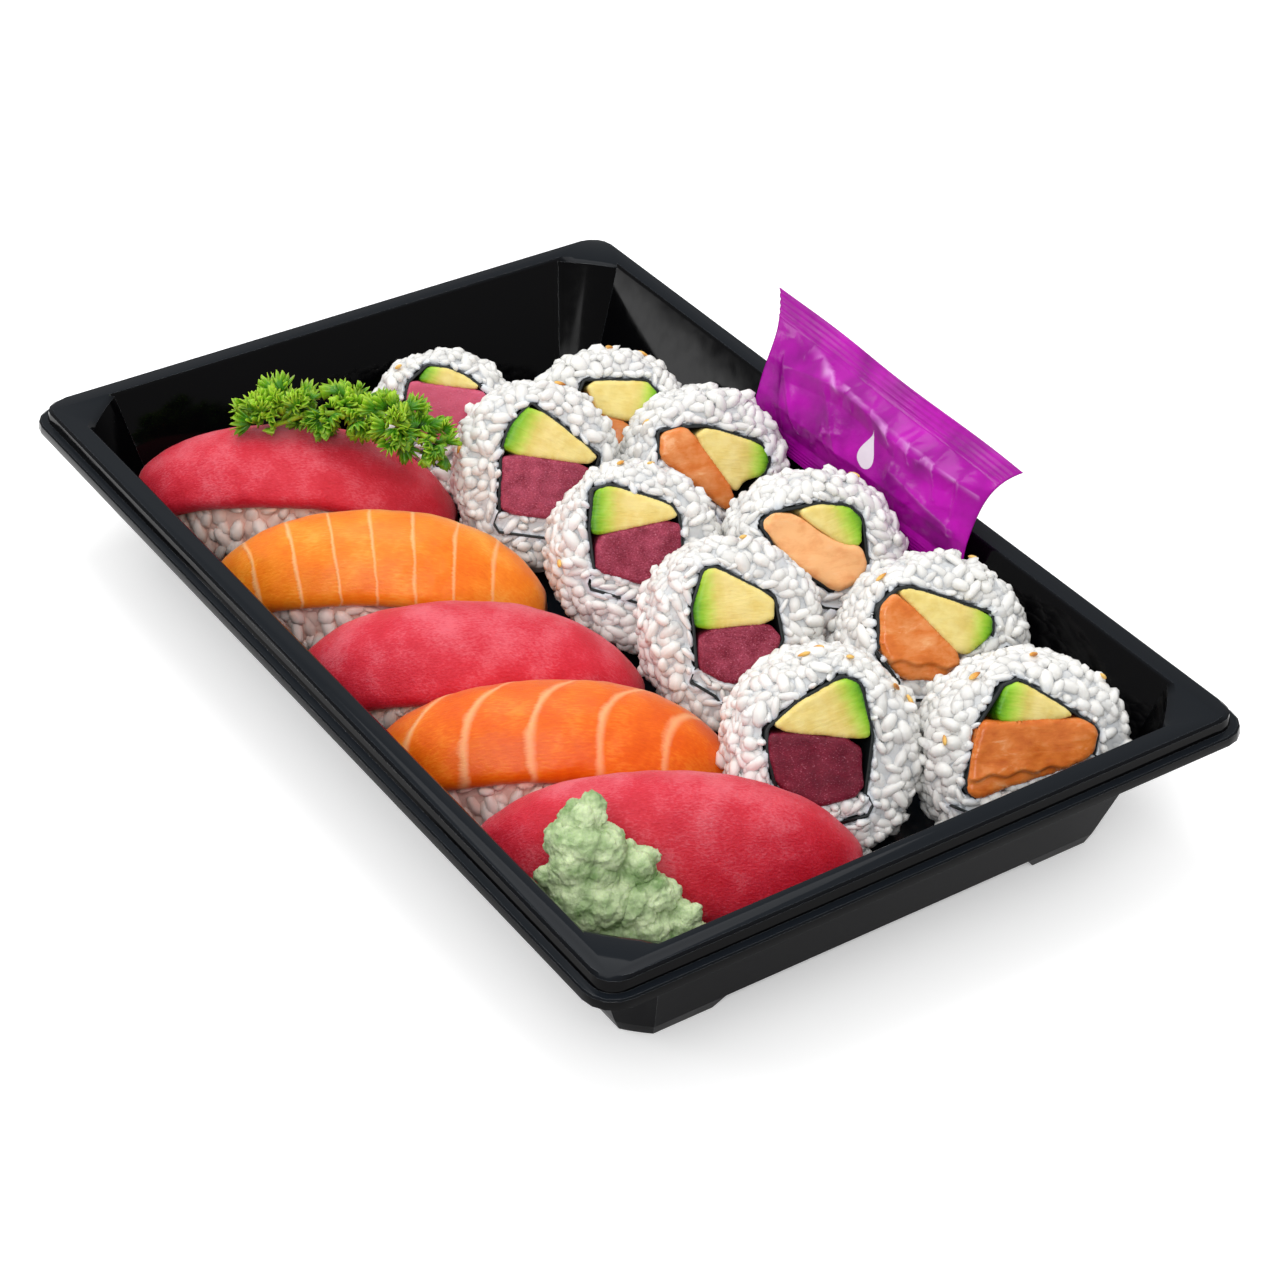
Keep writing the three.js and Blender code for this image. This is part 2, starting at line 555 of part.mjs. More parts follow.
// A block of filling with its corners eased.
function fillingPrism(outline, front, back) {
  const ease = 0.16;
  const eased = outline.flatMap(([x, y], i) => {
    const [px, py] = outline.at(i - 1);
    const [nx, ny] = outline[(i + 1) % outline.length];
    return [[lerp(x, px, ease), lerp(y, py, ease)], [lerp(x, nx, ease), lerp(y, ny, ease)]];
  });
  return prism(eased, front, back);
}

// Outlines are drawn for a tail that curls in at the lower left; -1 mirrors the nori.
function mirrored(points, flip) {
  const turned = points.map(([x, y]) => [x * flip, y]);
  return flip > 0 ? turned : turned.toReversed();
}

function buildRoll(roll, index) {
  const { length } = roll;
  const [turn, lean] = [rad(roll.turn), rad(roll.lean)];
  const out = new THREE.Vector3(Math.sin(turn) * Math.cos(lean),
    -Math.cos(turn) * Math.cos(lean), Math.sin(lean));
  const right = new THREE.Vector3(0, 0, 1).cross(out).normalize();
  const up = out.clone().cross(right);
  const below = ROLL.back.map(([depth, share]) => (length - depth) * Math.sin(lean)
    + roll.ry * share * Math.cos(lean));
  const frame = new THREE.Group();
  frame.position.set(roll.x, roll.y, REST + roll.lift + Math.max(...below));
  frame.quaternion.setFromRotationMatrix(new THREE.Matrix4().makeBasis(right, up, out));
  frame.updateMatrix();
  group.add(frame);

  const hull = mirrored(hullOf([...roll.avocado, ...roll.filling]), roll.tail);
  const strip = (thick, extra) => mirrored(noriOutline(hull, thick, extra), roll.tail);
  const core = cornerAngles(hull, 0, 360).map((angle) => outside(hull, angle, 0.4));
  const seeds = roll.seeds.map((seed, i) => seedSolid(roll, seed, 37 * i + 20 * index));
  const ring = seeds.reduce((body, seed) => body.add(seed), barrel(roll, ROLL.bump, 101 + index))
    .subtract(prism(mirrored(core, roll.tail), 5, length + 5))
    .subtract(prism(strip(ROLL.noriThick + 3 * GAP, GAP), 5, length + 5));
  const nori = prism(strip(ROLL.noriThick, 0), 0.2, length - 1);
  const avocado = fillingPrism(roll.avocado, ROLL.reach, length - 1.2);
  const fish = fillingPrism(roll.filling, ROLL.reach, length - 1.2).subtract(
    fillingPrism(grown(roll.avocado, GAP), 5, length + 5));
  addMesh(`${roll.name}_rice`, 'rice', fitIn(frame, ring, 0.12), frame);
  addMesh(`${roll.name}_nori`, 'nori', fitIn(frame, nori), frame);
  addMesh(`${roll.name}_avocado`, 'avocado', fitIn(frame, avocado), frame);
  addMesh(`${roll.name}_${roll.fish}`, `${roll.fish}Cut`, fitIn(frame, fish), frame);
  const shell = shellRound(barrel(roll, 0, 1).add(avocado).add(fish), ROLL.bump + 1.5 * GAP);
  keepClear.push(placedIn(frame, shell));
}

// The outline moved outwards from its middle by a set distance.
function grown(outline, distance) {
  const cx = outline.reduce((sum, p) => sum + p[0], 0) / outline.length;
  const cy = outline.reduce((sum, p) => sum + p[1], 0) / outline.length;
  return outline.map(([x, y]) => {
    const away = Math.hypot(x - cx, y - cy);
    return [x + 1.4 * distance * (x - cx) / away, y + 1.4 * distance * (y - cy) / away];
  });
}

ROLLS.forEach(buildRoll);

// ---------------------------------------------------------------- wasabi
const wasabiHeap = WASABI.map(([x, y, z, radius], i) => {
  const ball = new THREE.IcosahedronGeometry(radius, radius > 8.5 ? 1 : 0);
  ball.rotateX(i);
  ball.rotateY(2 * i);
  ball.translate(x, y, z);
  return solidOf(ball);
}).reduce((heap, ball) => heap.add(ball));
addMesh('wasabi', 'wasabi', largest(keepClear.reduce((left, shell) => left.subtract(shell),
  wasabiHeap.intersect(room)), 0.25));

// ---------------------------------------------------------------- parsley
// One leaflet: a ruffled, toothed fan as a thin plate, split alike on both faces.
function leaflet([x, y, z, turn, pitch, size]) {
  const { thick, spread, ribs, ruffle, facing } = SPRIG;
  const axis = new THREE.Vector3(1, 0, 0)
    .applyEuler(new THREE.Euler(0, -rad(pitch), rad(turn), 'ZYX'));
  const wide = new THREE.Vector3(...facing).cross(axis).normalize();
  const face = axis.clone().cross(wide);
  const points = [];
  const faces = [];
  for (const side of [1, -1]) {
    const add = (reach, share, wave) => points.push(new THREE.Vector3(x, y, z)
      .addScaledVector(axis, reach * Math.cos(rad(spread) * share))
      .addScaledVector(wide, reach * Math.sin(rad(spread) * share))
      .addScaledVector(face, wave * ruffle + side * thick / 2).toArray());
    add(-0.3, 0, 0);
    for (let i = 0; i <= ribs; i += 1) add(0.55 * size, 2 * i / ribs - 1, 0.5);
    for (let i = 0; i <= 2 * ribs; i += 1) {
      add(size * (i % 2 ? 0.84 : 1), i / ribs - 1, i % 2 ? -1.2 : 1);
    }
  }
  const under = points.length / 2;
  for (let i = 0; i < ribs; i += 1) {
    const [m, o] = [1 + i, 2 + ribs + 2 * i];
    for (const [a, b, c] of [[0, m, m + 1], [m, o, o + 1], [m, o + 1, m + 1],
      [m + 1, o + 1, o + 2]]) {
      faces.push([a, b, c], [a + under, c + under, b + under]);
    }
  }
  const rim = [0, 1, ...Array(2 * ribs + 1).keys(), ribs + 1]
    .map((k, at) => (at > 1 && at < 2 * ribs + 3 ? k + ribs + 2 : k));
  rim.forEach((a, k) => {
    const b = rim[(k + 1) % rim.length];
    faces.push([a, a + under, b + under], [a, b + under, b]);
  });
  return solidOf(geometryOf(points, faces));
}

function sprigStem() {
  const path = new THREE.CatmullRomCurve3(SPRIG.path.map((p) => new THREE.Vector3(...p)));
  const section = new THREE.Shape([...Array(5).keys()].map((i) => new THREE.Vector2(
    SPRIG.stem / 2 * Math.cos(0.4 * Math.PI * i), SPRIG.stem / 2 * Math.sin(0.4 * Math.PI * i))));
  return solidOf(new THREE.ExtrudeGeometry(section, { steps: 7, extrudePath: path }));
}

const sprig = LEAFLETS.map(leaflet).reduce((body, leaf) => body.add(leaf), sprigStem());
addMesh('parsley_sprig', 'parsley',
  largest(keepClear.reduce((left, shell) => left.subtract(shell), sprig), 0.25));

export default group;
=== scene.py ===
import json
import math

import bpy
import numpy as np
from mathutils import Matrix, Vector
from mathutils.bvhtree import BVHTree

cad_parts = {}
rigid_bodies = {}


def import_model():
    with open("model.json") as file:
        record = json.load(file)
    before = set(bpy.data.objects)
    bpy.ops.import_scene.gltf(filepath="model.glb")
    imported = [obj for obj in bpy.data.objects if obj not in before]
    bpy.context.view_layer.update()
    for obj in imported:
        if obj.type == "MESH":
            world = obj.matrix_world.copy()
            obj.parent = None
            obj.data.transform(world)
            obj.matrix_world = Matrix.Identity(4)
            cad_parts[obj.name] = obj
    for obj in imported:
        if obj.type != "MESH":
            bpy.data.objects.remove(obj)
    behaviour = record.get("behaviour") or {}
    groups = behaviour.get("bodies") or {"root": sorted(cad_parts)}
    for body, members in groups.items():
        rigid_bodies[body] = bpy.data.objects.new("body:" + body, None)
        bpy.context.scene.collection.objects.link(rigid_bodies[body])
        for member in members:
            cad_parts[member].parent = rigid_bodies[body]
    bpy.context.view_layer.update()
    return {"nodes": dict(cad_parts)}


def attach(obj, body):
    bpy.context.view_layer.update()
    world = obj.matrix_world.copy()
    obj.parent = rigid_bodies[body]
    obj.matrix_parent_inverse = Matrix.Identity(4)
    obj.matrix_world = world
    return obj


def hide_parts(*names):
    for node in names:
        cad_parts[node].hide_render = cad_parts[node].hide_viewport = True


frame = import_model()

MM = 0.001


# ---------------------------------------------------------------- floor, light and camera
# The tray stands on a white table that is lit from below, in a room brightest overhead. One
# softbox hangs over it, one fills from the left front and one grazes it from the left back.
FLOOR_WHITE, FLOOR_SIZE, TABLE_GLOW = "#fcfcfc", 6, 0.3
ROOM_WHITE, ROOM_SIDES, ROOM_TOP = "#ffffff", 0.36, 0.95
LIGHTS = [
    # name, place, size of its square, power
    ("overhead softbox", (0.05, 0.3, 0.95), 0.6, 3.0),
    ("left fill", (-0.6, -0.65, 0.78), 0.6, 5.0),
    ("left back strip", (-0.8, 0.75, 0.36), 0.35, 2.0),
]
LENS = 90.25
EYE = Vector((-352.504, -530.288, 470.300)) * MM
AIM = Vector((-13.7098, -36.7023, 40.0)) * MM
ROLL_LEFT = 1.2690


def linear(code):
    """A colour written in sRGB, as the linear values that a shader takes."""
    parts = [int(code[i:i + 2], 16) / 255 for i in (1, 3, 5)]
    return [c / 12.92 if c <= 0.04045 else ((c + 0.055) / 1.055) ** 2.4 for c in parts] + [1]


def add(tree, kind, inputs=None, **settings):
    """A shader node, with its inputs set or linked by name or number."""
    node = tree.nodes.new("ShaderNode" + kind)
    for name, value in settings.items():
        setattr(node, name, value)
    for name, value in (inputs or {}).items():
        if isinstance(value, bpy.types.NodeSocket):
            tree.links.new(value, node.inputs[name])
        else:
            node.inputs[name].default_value = value
    return node


def new_material(name, colour=None, **sockets):
    """A material of one principled shader, with its tree and that shader."""
    material = bpy.data.materials.new(name)
    material.use_nodes = True
    shader = material.node_tree.nodes["Principled BSDF"]
    if colour:
        sockets["Base_Color"] = linear(colour)
    for socket, value in sockets.items():
        shader.inputs[socket.replace("_", " ")].default_value = value
    return material, material.node_tree, shader


bpy.ops.object.select_all(action="DESELECT")
bpy.ops.mesh.primitive_grid_add(x_subdivisions=8, y_subdivisions=8, size=FLOOR_SIZE)
floor = bpy.context.active_object
floor.name = "table_top"
# Opal acrylic: matt, white and faintly glowing.
floor.data.materials.append(new_material(
    "white light table", FLOOR_WHITE, Roughness=0.9, Emission_Strength=TABLE_GLOW,
    Emission_Color=linear(FLOOR_WHITE))[0])

world = bpy.data.worlds.new("white room")
world.use_nodes = True
room = world.node_tree.nodes["Background"]
room.inputs["Color"].default_value = linear(ROOM_WHITE)
tree = world.node_tree
way = add(tree, "SeparateXYZ", {"Vector": add(tree, "TexCoord").outputs["Generated"]})
strength = add(tree, "MapRange", {"Value": way.outputs["Z"], "To Min": ROOM_SIDES,
                                  "To Max": ROOM_TOP})
tree.links.new(strength.outputs["Result"], room.inputs["Strength"])
bpy.context.scene.world = world
bpy.context.scene.view_settings.view_transform = "Standard"

for name, place, size, power in LIGHTS:
    bpy.ops.object.light_add(type="AREA", location=place)
    lamp = bpy.context.active_object
    lamp.name = name
    lamp.data.size = size
    lamp.data.energy = power
    lamp.rotation_euler = (-Vector(place)).to_track_quat("-Z", "Y").to_euler()

back = (EYE - AIM).normalized()
right = Vector((0, 0, 1)).cross(back).normalized()
tilt = math.radians(ROLL_LEFT)
leaned = right * math.cos(tilt) + back.cross(right) * math.sin(tilt)
bpy.ops.object.camera_add()
camera = bpy.context.active_object
camera.matrix_world = Matrix.Translation(EYE) @ Matrix(
    (leaned, back.cross(leaned), back)).transposed().to_4x4()
camera.data.lens = LENS
camera.data.sensor_width = 36
bpy.context.scene.camera = camera


# ---------------------------------------------------------------- tray
# A black polystyrene sheet, drawn over a mould while hot: glossy inside and on the rim,
# with every fold slightly rounded by the draw. It stands on four corner feet.
FOLD_ROUND, FOLD_ANGLE = 0.6 * MM, math.radians(28)


def new_piece(name, data):
    piece = bpy.data.objects.new(name, data)
    bpy.context.scene.collection.objects.link(piece)
    return piece


def pick(*pieces):
    """Selects these pieces alone and makes the last one active."""
    bpy.ops.object.select_all(action="DESELECT")
    for piece in pieces:
        piece.select_set(True)
        bpy.context.view_layer.objects.active = piece


def reworked(node, name):
    """A copy of a CAD solid with its loose triangles merged, ready to be worked on."""
    piece = new_piece(name, frame["nodes"][node].data.copy())
    piece.data.materials.clear()
    pick(piece)
    bpy.ops.object.mode_set(mode="EDIT")
    bpy.ops.mesh.select_all(action="SELECT")
    bpy.ops.mesh.remove_doubles(threshold=0.01 * MM)
    bpy.ops.mesh.dissolve_limited(angle_limit=math.radians(0.5))
    bpy.ops.object.mode_set(mode="OBJECT")
    return piece


def work(piece, kind, **settings):
    bpy.context.view_layer.objects.active = piece
    modifier = piece.modifiers.new(kind.title(), kind)
    for name, value in settings.items():
        setattr(modifier, name, value)
    bpy.ops.object.modifier_apply(modifier=modifier.name)


def settle(piece, material, slot, *nodes):
    """Gives a finished piece its material and its place on the tray."""
    if material:
        piece.data.materials.append(material)
    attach(piece, "root")
    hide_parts(*nodes)


def noise(tree, spot, scale, detail, **more):
    """A soft random pattern."""
    return add(tree, "TexNoise", {"Vector": spot, "Scale": scale, "Detail": detail,
                                  **more}).outputs["Fac"]


def ranged(tree, value, low, high, to_low=0, to_high=1, **settings):
    """A value moved from one range to another."""
    return add(tree, "MapRange", {"Value": value, "From Min": low, "From Max": high,
                                  "To Min": to_low, "To Max": to_high},
               **settings).outputs["Result"]


def blend(tree, share, first, second, kind="MIX"):
    """Two colours, mixed by the share of the second."""
    return add(tree, "Mix", {0: share, 6: first, 7: second}, data_type="RGBA",
               blend_type=kind).outputs[2]


def bump(tree, shader, height, strength, depth):
    """Lets a pattern of up to this depth tilt the surface."""
    relief = add(tree, "Bump", {"Height": height, "Strength": strength, "Distance": depth})
    tree.links.new(relief.outputs["Normal"], shader.inputs["Normal"])
    return relief


def colour_from(tree, shader, colour):
    tree.links.new(colour, shader.inputs["Base Color"])


# Black polystyrene, vacuum formed: mirror-like, with the faint waves of a drawn sheet, a slightly
# duller surface where it was stretched and, on what lies flat, a painted sheen in a lighter blue
# grey.
black_sheet, tree, shader = new_material("vacuum formed black polystyrene", IOR=1.4,
                                         Specular_IOR_Level=0.12)
facing = add(tree, "SeparateXYZ", {"Vector": add(tree, "NewGeometry").outputs["Normal"]})
# Painted sheen: faces that look up are painted a lighter blue grey.
painted_sheen_up = ranged(tree, facing.outputs["Z"], 0.7, 1)
colour_from(tree, shader, blend(tree, painted_sheen_up, linear("#030304"), linear("#15191e")))
spot = add(tree, "TexCoord").outputs["Object"]
dull = ranged(tree, noise(tree, spot, 260, 4), 0.35, 0.75, 0.06, 0.12)
tree.links.new(dull, shader.inputs["Roughness"])
bump(tree, shader, noise(tree, spot, 45, 1), 0.12, 0.6 * MM)

# The same sheet drawn round an edge: thinner, smoother and more mirror-like, and painted pale
# grey as a highlight, so that each fold shows as a fine pale line.
fold_painted_highlight = new_material("black polystyrene drawn round an edge", "#4a5259", IOR=1.8,
                          Roughness=0.16, Specular_IOR_Level=0.9)[0]

# The outside of the sheet, which met no mould: a shade duller, so it mirrors the table less.
black_outside = new_material("outside of the black polystyrene", "#0c0c0e", IOR=1.3,
                             Roughness=0.22, Specular_IOR_Level=0.02)[0]

tray = reworked("tray", "tray_sheet")
SHEET, FOLD, OUTSIDE = range(3)
for material in (black_sheet, fold_painted_highlight, black_outside):
    tray.data.materials.append(material)
work(tray, "BEVEL", width=FOLD_ROUND, segments=3, limit_method="ANGLE",
     angle_limit=FOLD_ANGLE, harden_normals=False, material=FOLD)
for face in tray.data.polygons:
    if face.normal.z < -0.05 and face.material_index == SHEET:
        face.material_index = OUTSIDE
bpy.ops.object.shade_smooth_by_angle(angle=math.radians(35))
settle(tray, None, "tray", "tray")


# ---------------------------------------------------------------- rice of the nigiri
# Five balls of cooked short-grain rice, pressed by hand. Whole grains cover a packed core,
# sunk into it and into one another, and most of them stand up along the sides.
GRAIN_LONG, GRAIN_WIDE, GRAIN_THICK = 5.6 * MM, 3.0 * MM, 2.7 * MM
GRAIN_SINK, WALL_SINK = 1.0 * MM, 2.1 * MM
BALL_SPACING, BALL_GRAIN, BALL_LEAN = 2.9 * MM, 1.3, 0.92
# Nearest that a grain comes to what the rice holds, how wide the band of small grains along
# it is, and how near the tray's wall grains lie flat.
NEAREST, EDGE_BAND, WALL_BAND = 0.3 * MM, 1.9 * MM, 2.2 * MM
TRAY_FLOOR, LOWEST_GRAIN, UNSEEN_BELOW = 4.2 * MM, 5.2 * MM, 16 * MM
# How much grains differ in tilt and in length, width and thickness, and how small they are
# along the edge of what the rice holds.
TILT_SPREAD, SIZE_SPREAD, EDGE_SIZE = 0.36, (0.24, 0.16, 0.16), (0.85, 0.62, 0.7)
CORE_VOXEL, CORE_LUMPS, TRIES_A_GRAIN = 0.7 * MM, 0.9 * MM, 7


def grain_shape():
    """One cooked grain: a blunt oval, a little bent and wider at one end."""
    bpy.ops.object.select_all(action="DESELECT")
    bpy.ops.mesh.primitive_cube_add(size=2)
    ball = bpy.context.active_object
    bpy.ops.object.mode_set(mode="EDIT")
    bpy.ops.mesh.select_all(action="SELECT")
    bpy.ops.mesh.subdivide(number_cuts=1)
    bpy.ops.object.mode_set(mode="OBJECT")
    points = np.array([v.co.normalized() for v in ball.data.vertices])
    corners = np.array([p.vertices for p in ball.data.polygons])
    bpy.data.objects.remove(ball)
    x, y, z = points.T * 1.04
    end = np.sign(x) * np.abs(x) ** 0.85
    wide = 1 - 0.18 * x
    return np.stack([end * GRAIN_LONG / 2, y * wide * GRAIN_WIDE / 2,
                     (z * wide - 0.3 * x * x) * GRAIN_THICK / 2], 1), corners


GRAIN, GRAIN_FACES = grain_shape()


def solid(*nodes):
    """A lookup of the nearest point on some CAD solids."""
    points, faces = [], []
    for node in nodes:
        mesh = frame["nodes"][node].data
        start = len(points)
        points += [v.co.copy() for v in mesh.vertices]
        faces += [[start + k for k in p.vertices] for p in mesh.polygons]
    return BVHTree.FromPolygons(points, faces)


def gaps(points, shell):
    """From each point to a CAD solid: the distance, the nearest spot on it and how far the
    point lies under its surface."""
    found = [shell.find_nearest(Vector(p)) for p in points]
    below = [(f[0] - Vector(p)).dot(f[1]) for p, f in zip(points, found)]
    return np.array([f[3] for f in found]), np.array([f[0] for f in found]), np.array(below)


def coordinates(mesh, key="co"):
    rows = np.empty(3 * len(mesh.vertices))
    mesh.vertices.foreach_get(key, rows)
    return rows.reshape(-1, 3)


def note(mesh, name, rows):
    """Stores a number or a vector for each vertex, for the materials to read."""
    kind, key = ("FLOAT", "value") if rows.ndim == 1 else ("FLOAT_VECTOR", "vector")
    mesh.attributes.new(name, kind, "POINT").data.foreach_set(key, rows.ravel())


def spread_points(mesh, spacing, rng):
    """Points over a mesh, no two nearer than the spacing, with the normals there."""
    mesh.calc_loop_triangles()
    corner = np.array([t.vertices for t in mesh.loop_triangles])
    spots = coordinates(mesh)
    a, b, c = spots[corner[:, 0]], spots[corner[:, 1]], spots[corner[:, 2]]
    cross = np.cross(b - a, c - a)
    area = np.linalg.norm(cross, axis=1) / 2
    count = int(TRIES_A_GRAIN * area.sum() / spacing ** 2)
    chosen = rng.choice(len(area), count, p=area / area.sum())
    u, v = rng.random((2, count, 1))
    u, v = np.where(u + v > 1, 1 - u, u), np.where(u + v > 1, 1 - v, v)
    points = a[chosen] + u * (b - a)[chosen] + v * (c - a)[chosen]
    normals = cross[chosen] / (2 * area[chosen, None])
    taken, kept = {}, []
    for k, cell in enumerate(np.floor(points / spacing).astype(int)):
        near = [taken[key] for key in
                ((cell[0] + i, cell[1] + j, cell[2] + m) for i in (-1, 0, 1)
                 for j in (-1, 0, 1) for m in (-1, 0, 1)) if key in taken]
        if all(np.sum((points[k] - points[n]) ** 2) > spacing ** 2 for n in near):
            taken[tuple(cell)] = k
            kept.append(k)
    return points[kept], normals[kept]


def lay_grains(name, places, headings, normals, sizes):
    """One mesh of grains: each lies along its heading, its flat side on the normal."""
    turn = np.stack([headings, np.cross(normals, headings), normals], 2)
    points = np.einsum("nij,nkj->nki", turn, GRAIN[None] * sizes[:, None, :]) + places[:, None]
    faces = GRAIN_FACES[None] + len(GRAIN) * np.arange(len(places))[:, None, None]
    close = gaps(places, tray_solid)[0] < GRAIN_LONG
    points[close] = stopped_by_tray(
        points[close].reshape(-1, 3),
        np.repeat(places[close], len(GRAIN), 0)).reshape(-1, len(GRAIN), 3)
    mesh = bpy.data.meshes.new(name)
    mesh.from_pydata(points.reshape(-1, 3), [], faces.reshape(-1, 4).tolist())
    return new_piece(name, mesh)


def unit(rows):
    return rows / np.linalg.norm(rows, axis=1, keepdims=True)


def ease(share):
    share = np.clip(share, 0, 1)
    return share * share * (3 - 2 * share)


tray_solid = solid("tray")


def stopped_by_tray(points, origins):
    """Stops each point where its line from its origin would cross the tray's sheet."""
    for k, (point, origin) in enumerate(zip(points, origins)):
        run = Vector(point - origin)
        spot = tray_solid.ray_cast(Vector(origin), run.normalized(), run.length)[0]
        if spot:
            points[k] = spot
    points[:, 2] = np.maximum(points[:, 2], TRAY_FLOOR)
    return points


def texture(name, kind, size, **settings):
    """A pattern that pushes a surface in and out, with lumps of this size."""
    pattern = bpy.data.textures.new(name, kind)
    for key, value in {**settings, "noise_scale": size * MM}.items():
        setattr(pattern, key, value)
    return pattern


packed = texture("lumps of packed rice", "CLOUDS", 1.8)


def rice_piece(node, inner, spacing, size, lean, material, seed):
    """Core and grains for one rice node. inner is what the rice holds or carries, size
    scales the grains, and lean is the share of them that stand up."""
    rng = np.random.default_rng(seed)
    core = reworked(node, f"{node}_grains")
    work(core, "REMESH", mode="VOXEL", voxel_size=CORE_VOXEL)
    spots, normals = spread_points(core.data, spacing, rng)
    near, foot, _ = gaps(spots, inner)
    walled = gaps(spots, tray_solid)[0] < WALL_BAND
    hidden = (normals[:, 2] < -0.55) & (spots[:, 2] < UNSEEN_BELOW)
    keep = (near > NEAREST) & (spots[:, 2] > LOWEST_GRAIN) & ~hidden
    spots, normals, near, foot, walled = (
        rows[keep] for rows in (spots, normals, near, foot, walled))

    # Each grain lies at random, upright, or along the edge of what the rice holds, and is
    # tilted a little out of the surface.
    loose = unit(np.cross(normals, rng.normal(size=spots.shape)))
    upright = np.cross(normals, np.cross((0, 0, 1), normals))
    along_edge = np.cross(normals, unit(spots - foot))
    edge = (near < EDGE_BAND)[:, None]
    heading = np.where(edge, 1.4 * along_edge, lean * upright) + (1 - 0.6 * lean) * loose
    heading -= np.sum(heading * normals, 1, keepdims=True) * normals
    tilts = rng.normal(0, TILT_SPREAD, len(spots)) * np.where(walled, 0.3, 1)
    heading = unit(unit(heading) + normals * tilts[:, None])
    up = unit(normals - np.sum(heading * normals, 1, keepdims=True) * heading)
    sizes = 1 + rng.normal(size=(len(spots), 3)).clip(-1.8, 1.8) * SIZE_SPREAD
    sizes = np.where(edge, sizes * EDGE_SIZE, size * sizes)
    sink = GRAIN_SINK + rng.normal(0, 0.5 * MM, len(spots)).clip(-0.7 * MM, 0.8 * MM)
    sink = np.where(walled, WALL_SINK, np.where(edge[:, 0], 0.35 * sink, sink))
    grains = lay_grains(f"{node}_loose", spots - normals * sink[:, None], heading, up, sizes)
    note(grains.data, "milky", np.repeat(rng.random(len(spots)), len(GRAIN)))

    # The core lies under the grains and comes up to the surface round what it holds.
    points, outward = coordinates(core.data), coordinates(core.data, "normal")
    far = ease((gaps(points, inner)[0] - 0.25 * MM) / (0.8 * MM))
    points += outward * ((0.1 - 0.95 * far) * MM)[:, None]
    core.data.vertices.foreach_set("co", points.ravel())
    work(core, "DISPLACE", texture=packed, strength=CORE_LUMPS, mid_level=0.5)
    work(core, "DECIMATE", ratio=0.5)
    pick(grains, core)
    bpy.ops.object.join()
    points = coordinates(core.data)
    # How deep each spot lies under the rice's surface, which the material paints darker as shade
    # in the gaps, and how near it lies to what the rice holds, where the material paints the tone
    # given for it.
    note(core.data, "sunk", gaps(points, solid(node))[2] / MM)
    note(core.data, "pressed", 1 - ease((gaps(points, inner)[0] - 0.2 * MM) / (1.1 * MM)))
    bpy.ops.object.shade_smooth()
    settle(core, material, "rice", node)


def read(tree, name, kind="Fac"):
    """A number noted on the mesh, or the vector noted there."""
    return add(tree, "Attribute", attribute_name=name).outputs[kind]


def ramp(tree, value, first, *middle_and_last):
    """A colour for each value, from stops of a value and a colour."""
    *middle, last = middle_and_last
    node = add(tree, "ValToRGB", {"Fac": value})
    marks = node.color_ramp.elements
    for mark, (place, tone) in ((marks[0], first), (marks[1], last)):
        mark.position, mark.color = place, linear(tone)
    for place, tone in middle:
        marks.new(place).color = linear(tone)
    return node.outputs["Color"]


def rice_material(name, tones, painted_tone_where_pressed):
    """Steamed short-grain rice, cooled: milky, translucent and moist, no two grains quite as
    white, with painted shade, greyer, in the gaps. Where it was pressed on something it takes the
    given tone: painted light reflected from the fish on the nigiri, painted shade beside the nori
    in the rolls."""
    material, tree, shader = new_material(
        name, Roughness=0.33, IOR=1.38, Subsurface_Weight=0.3,
        Subsurface_Radius=(1.0, 0.94, 0.86), Subsurface_Scale=0.7 * MM)
    # Painted shade: the deeper a spot lies among the grains, the greyer the rice is painted.
    rice_with_painted_gap_shade = ramp(tree, ranged(tree, read(tree, "sunk"), -0.5, 1.2), *zip((0, 0.5, 1), tones))
    grey = ranged(tree, read(tree, "milky"), 0, 1, 0.88, 1)
    toned = blend(tree, 1, rice_with_painted_gap_shade, grey, "MULTIPLY")
    colour_from(tree, shader, blend(tree, read(tree, "pressed"), toned, linear(painted_tone_where_pressed)))
    spot = add(tree, "TexCoord").outputs["Object"]
    bump(tree, shader, noise(tree, spot, 700, 2), 0.3, 0.25 * MM)
    return material


# Painted light: pink tones, strongest where the rice meets the fish, stand for light reflected
# from the red fish; the gaps are painted in shade.
rice_painted_pink_near_fish = rice_material("steamed rice, painted pink light from raw fish",
                             ("#fff0e8", "#ffe0d4", "#f0c2b4"), "#ffd8c6")

NIGIRI = [
    # name, x, y, turn, half length, half width, crest, fall left, fall right, drape, fish
    ("nigiri_1", -36.5, 86.2, -36, 41, 16.6, 38, 14, 22, 10, "tuna"),
    ("nigiri_2", -38, 40.5, -34.5, 41, 16.6, 38.5, 16, 22, 13, "salmon"),
    ("nigiri_3", -38.6, -4.1, -34, 41, 17, 38, 15, 22, 14, "tuna"),
    ("nigiri_4", -38.4, -40, -31, 41, 16.6, 37, 14, 20, 12, "salmon"),
    ("nigiri_5", -35.2, -81.6, -33, 43.5, 18.6, 38, 16, 20, 25, "tuna"),
]
for count, (name, *_, fish) in enumerate(NIGIRI):
    rice_piece(f"{name}_rice", solid(f"{name}_{fish}"), BALL_SPACING, BALL_GRAIN, BALL_LEAN,
               rice_painted_pink_near_fish, 20 + count)


# ---------------------------------------------------------------- fish slices
# A slice of raw tuna or salmon, cut on the slant, lies over each rice ball and hangs down
# at its ends and long sides. Salmon shows pale lines of fat where the knife crossed them.
SLICE_THICK, SLICE_EDGE = 7, 3.6
SLICE_ROWS, SLICE_COLUMNS = 26, 16
STRAY, SLICE_LUMPS = 0.9 * MM, 0.9 * MM


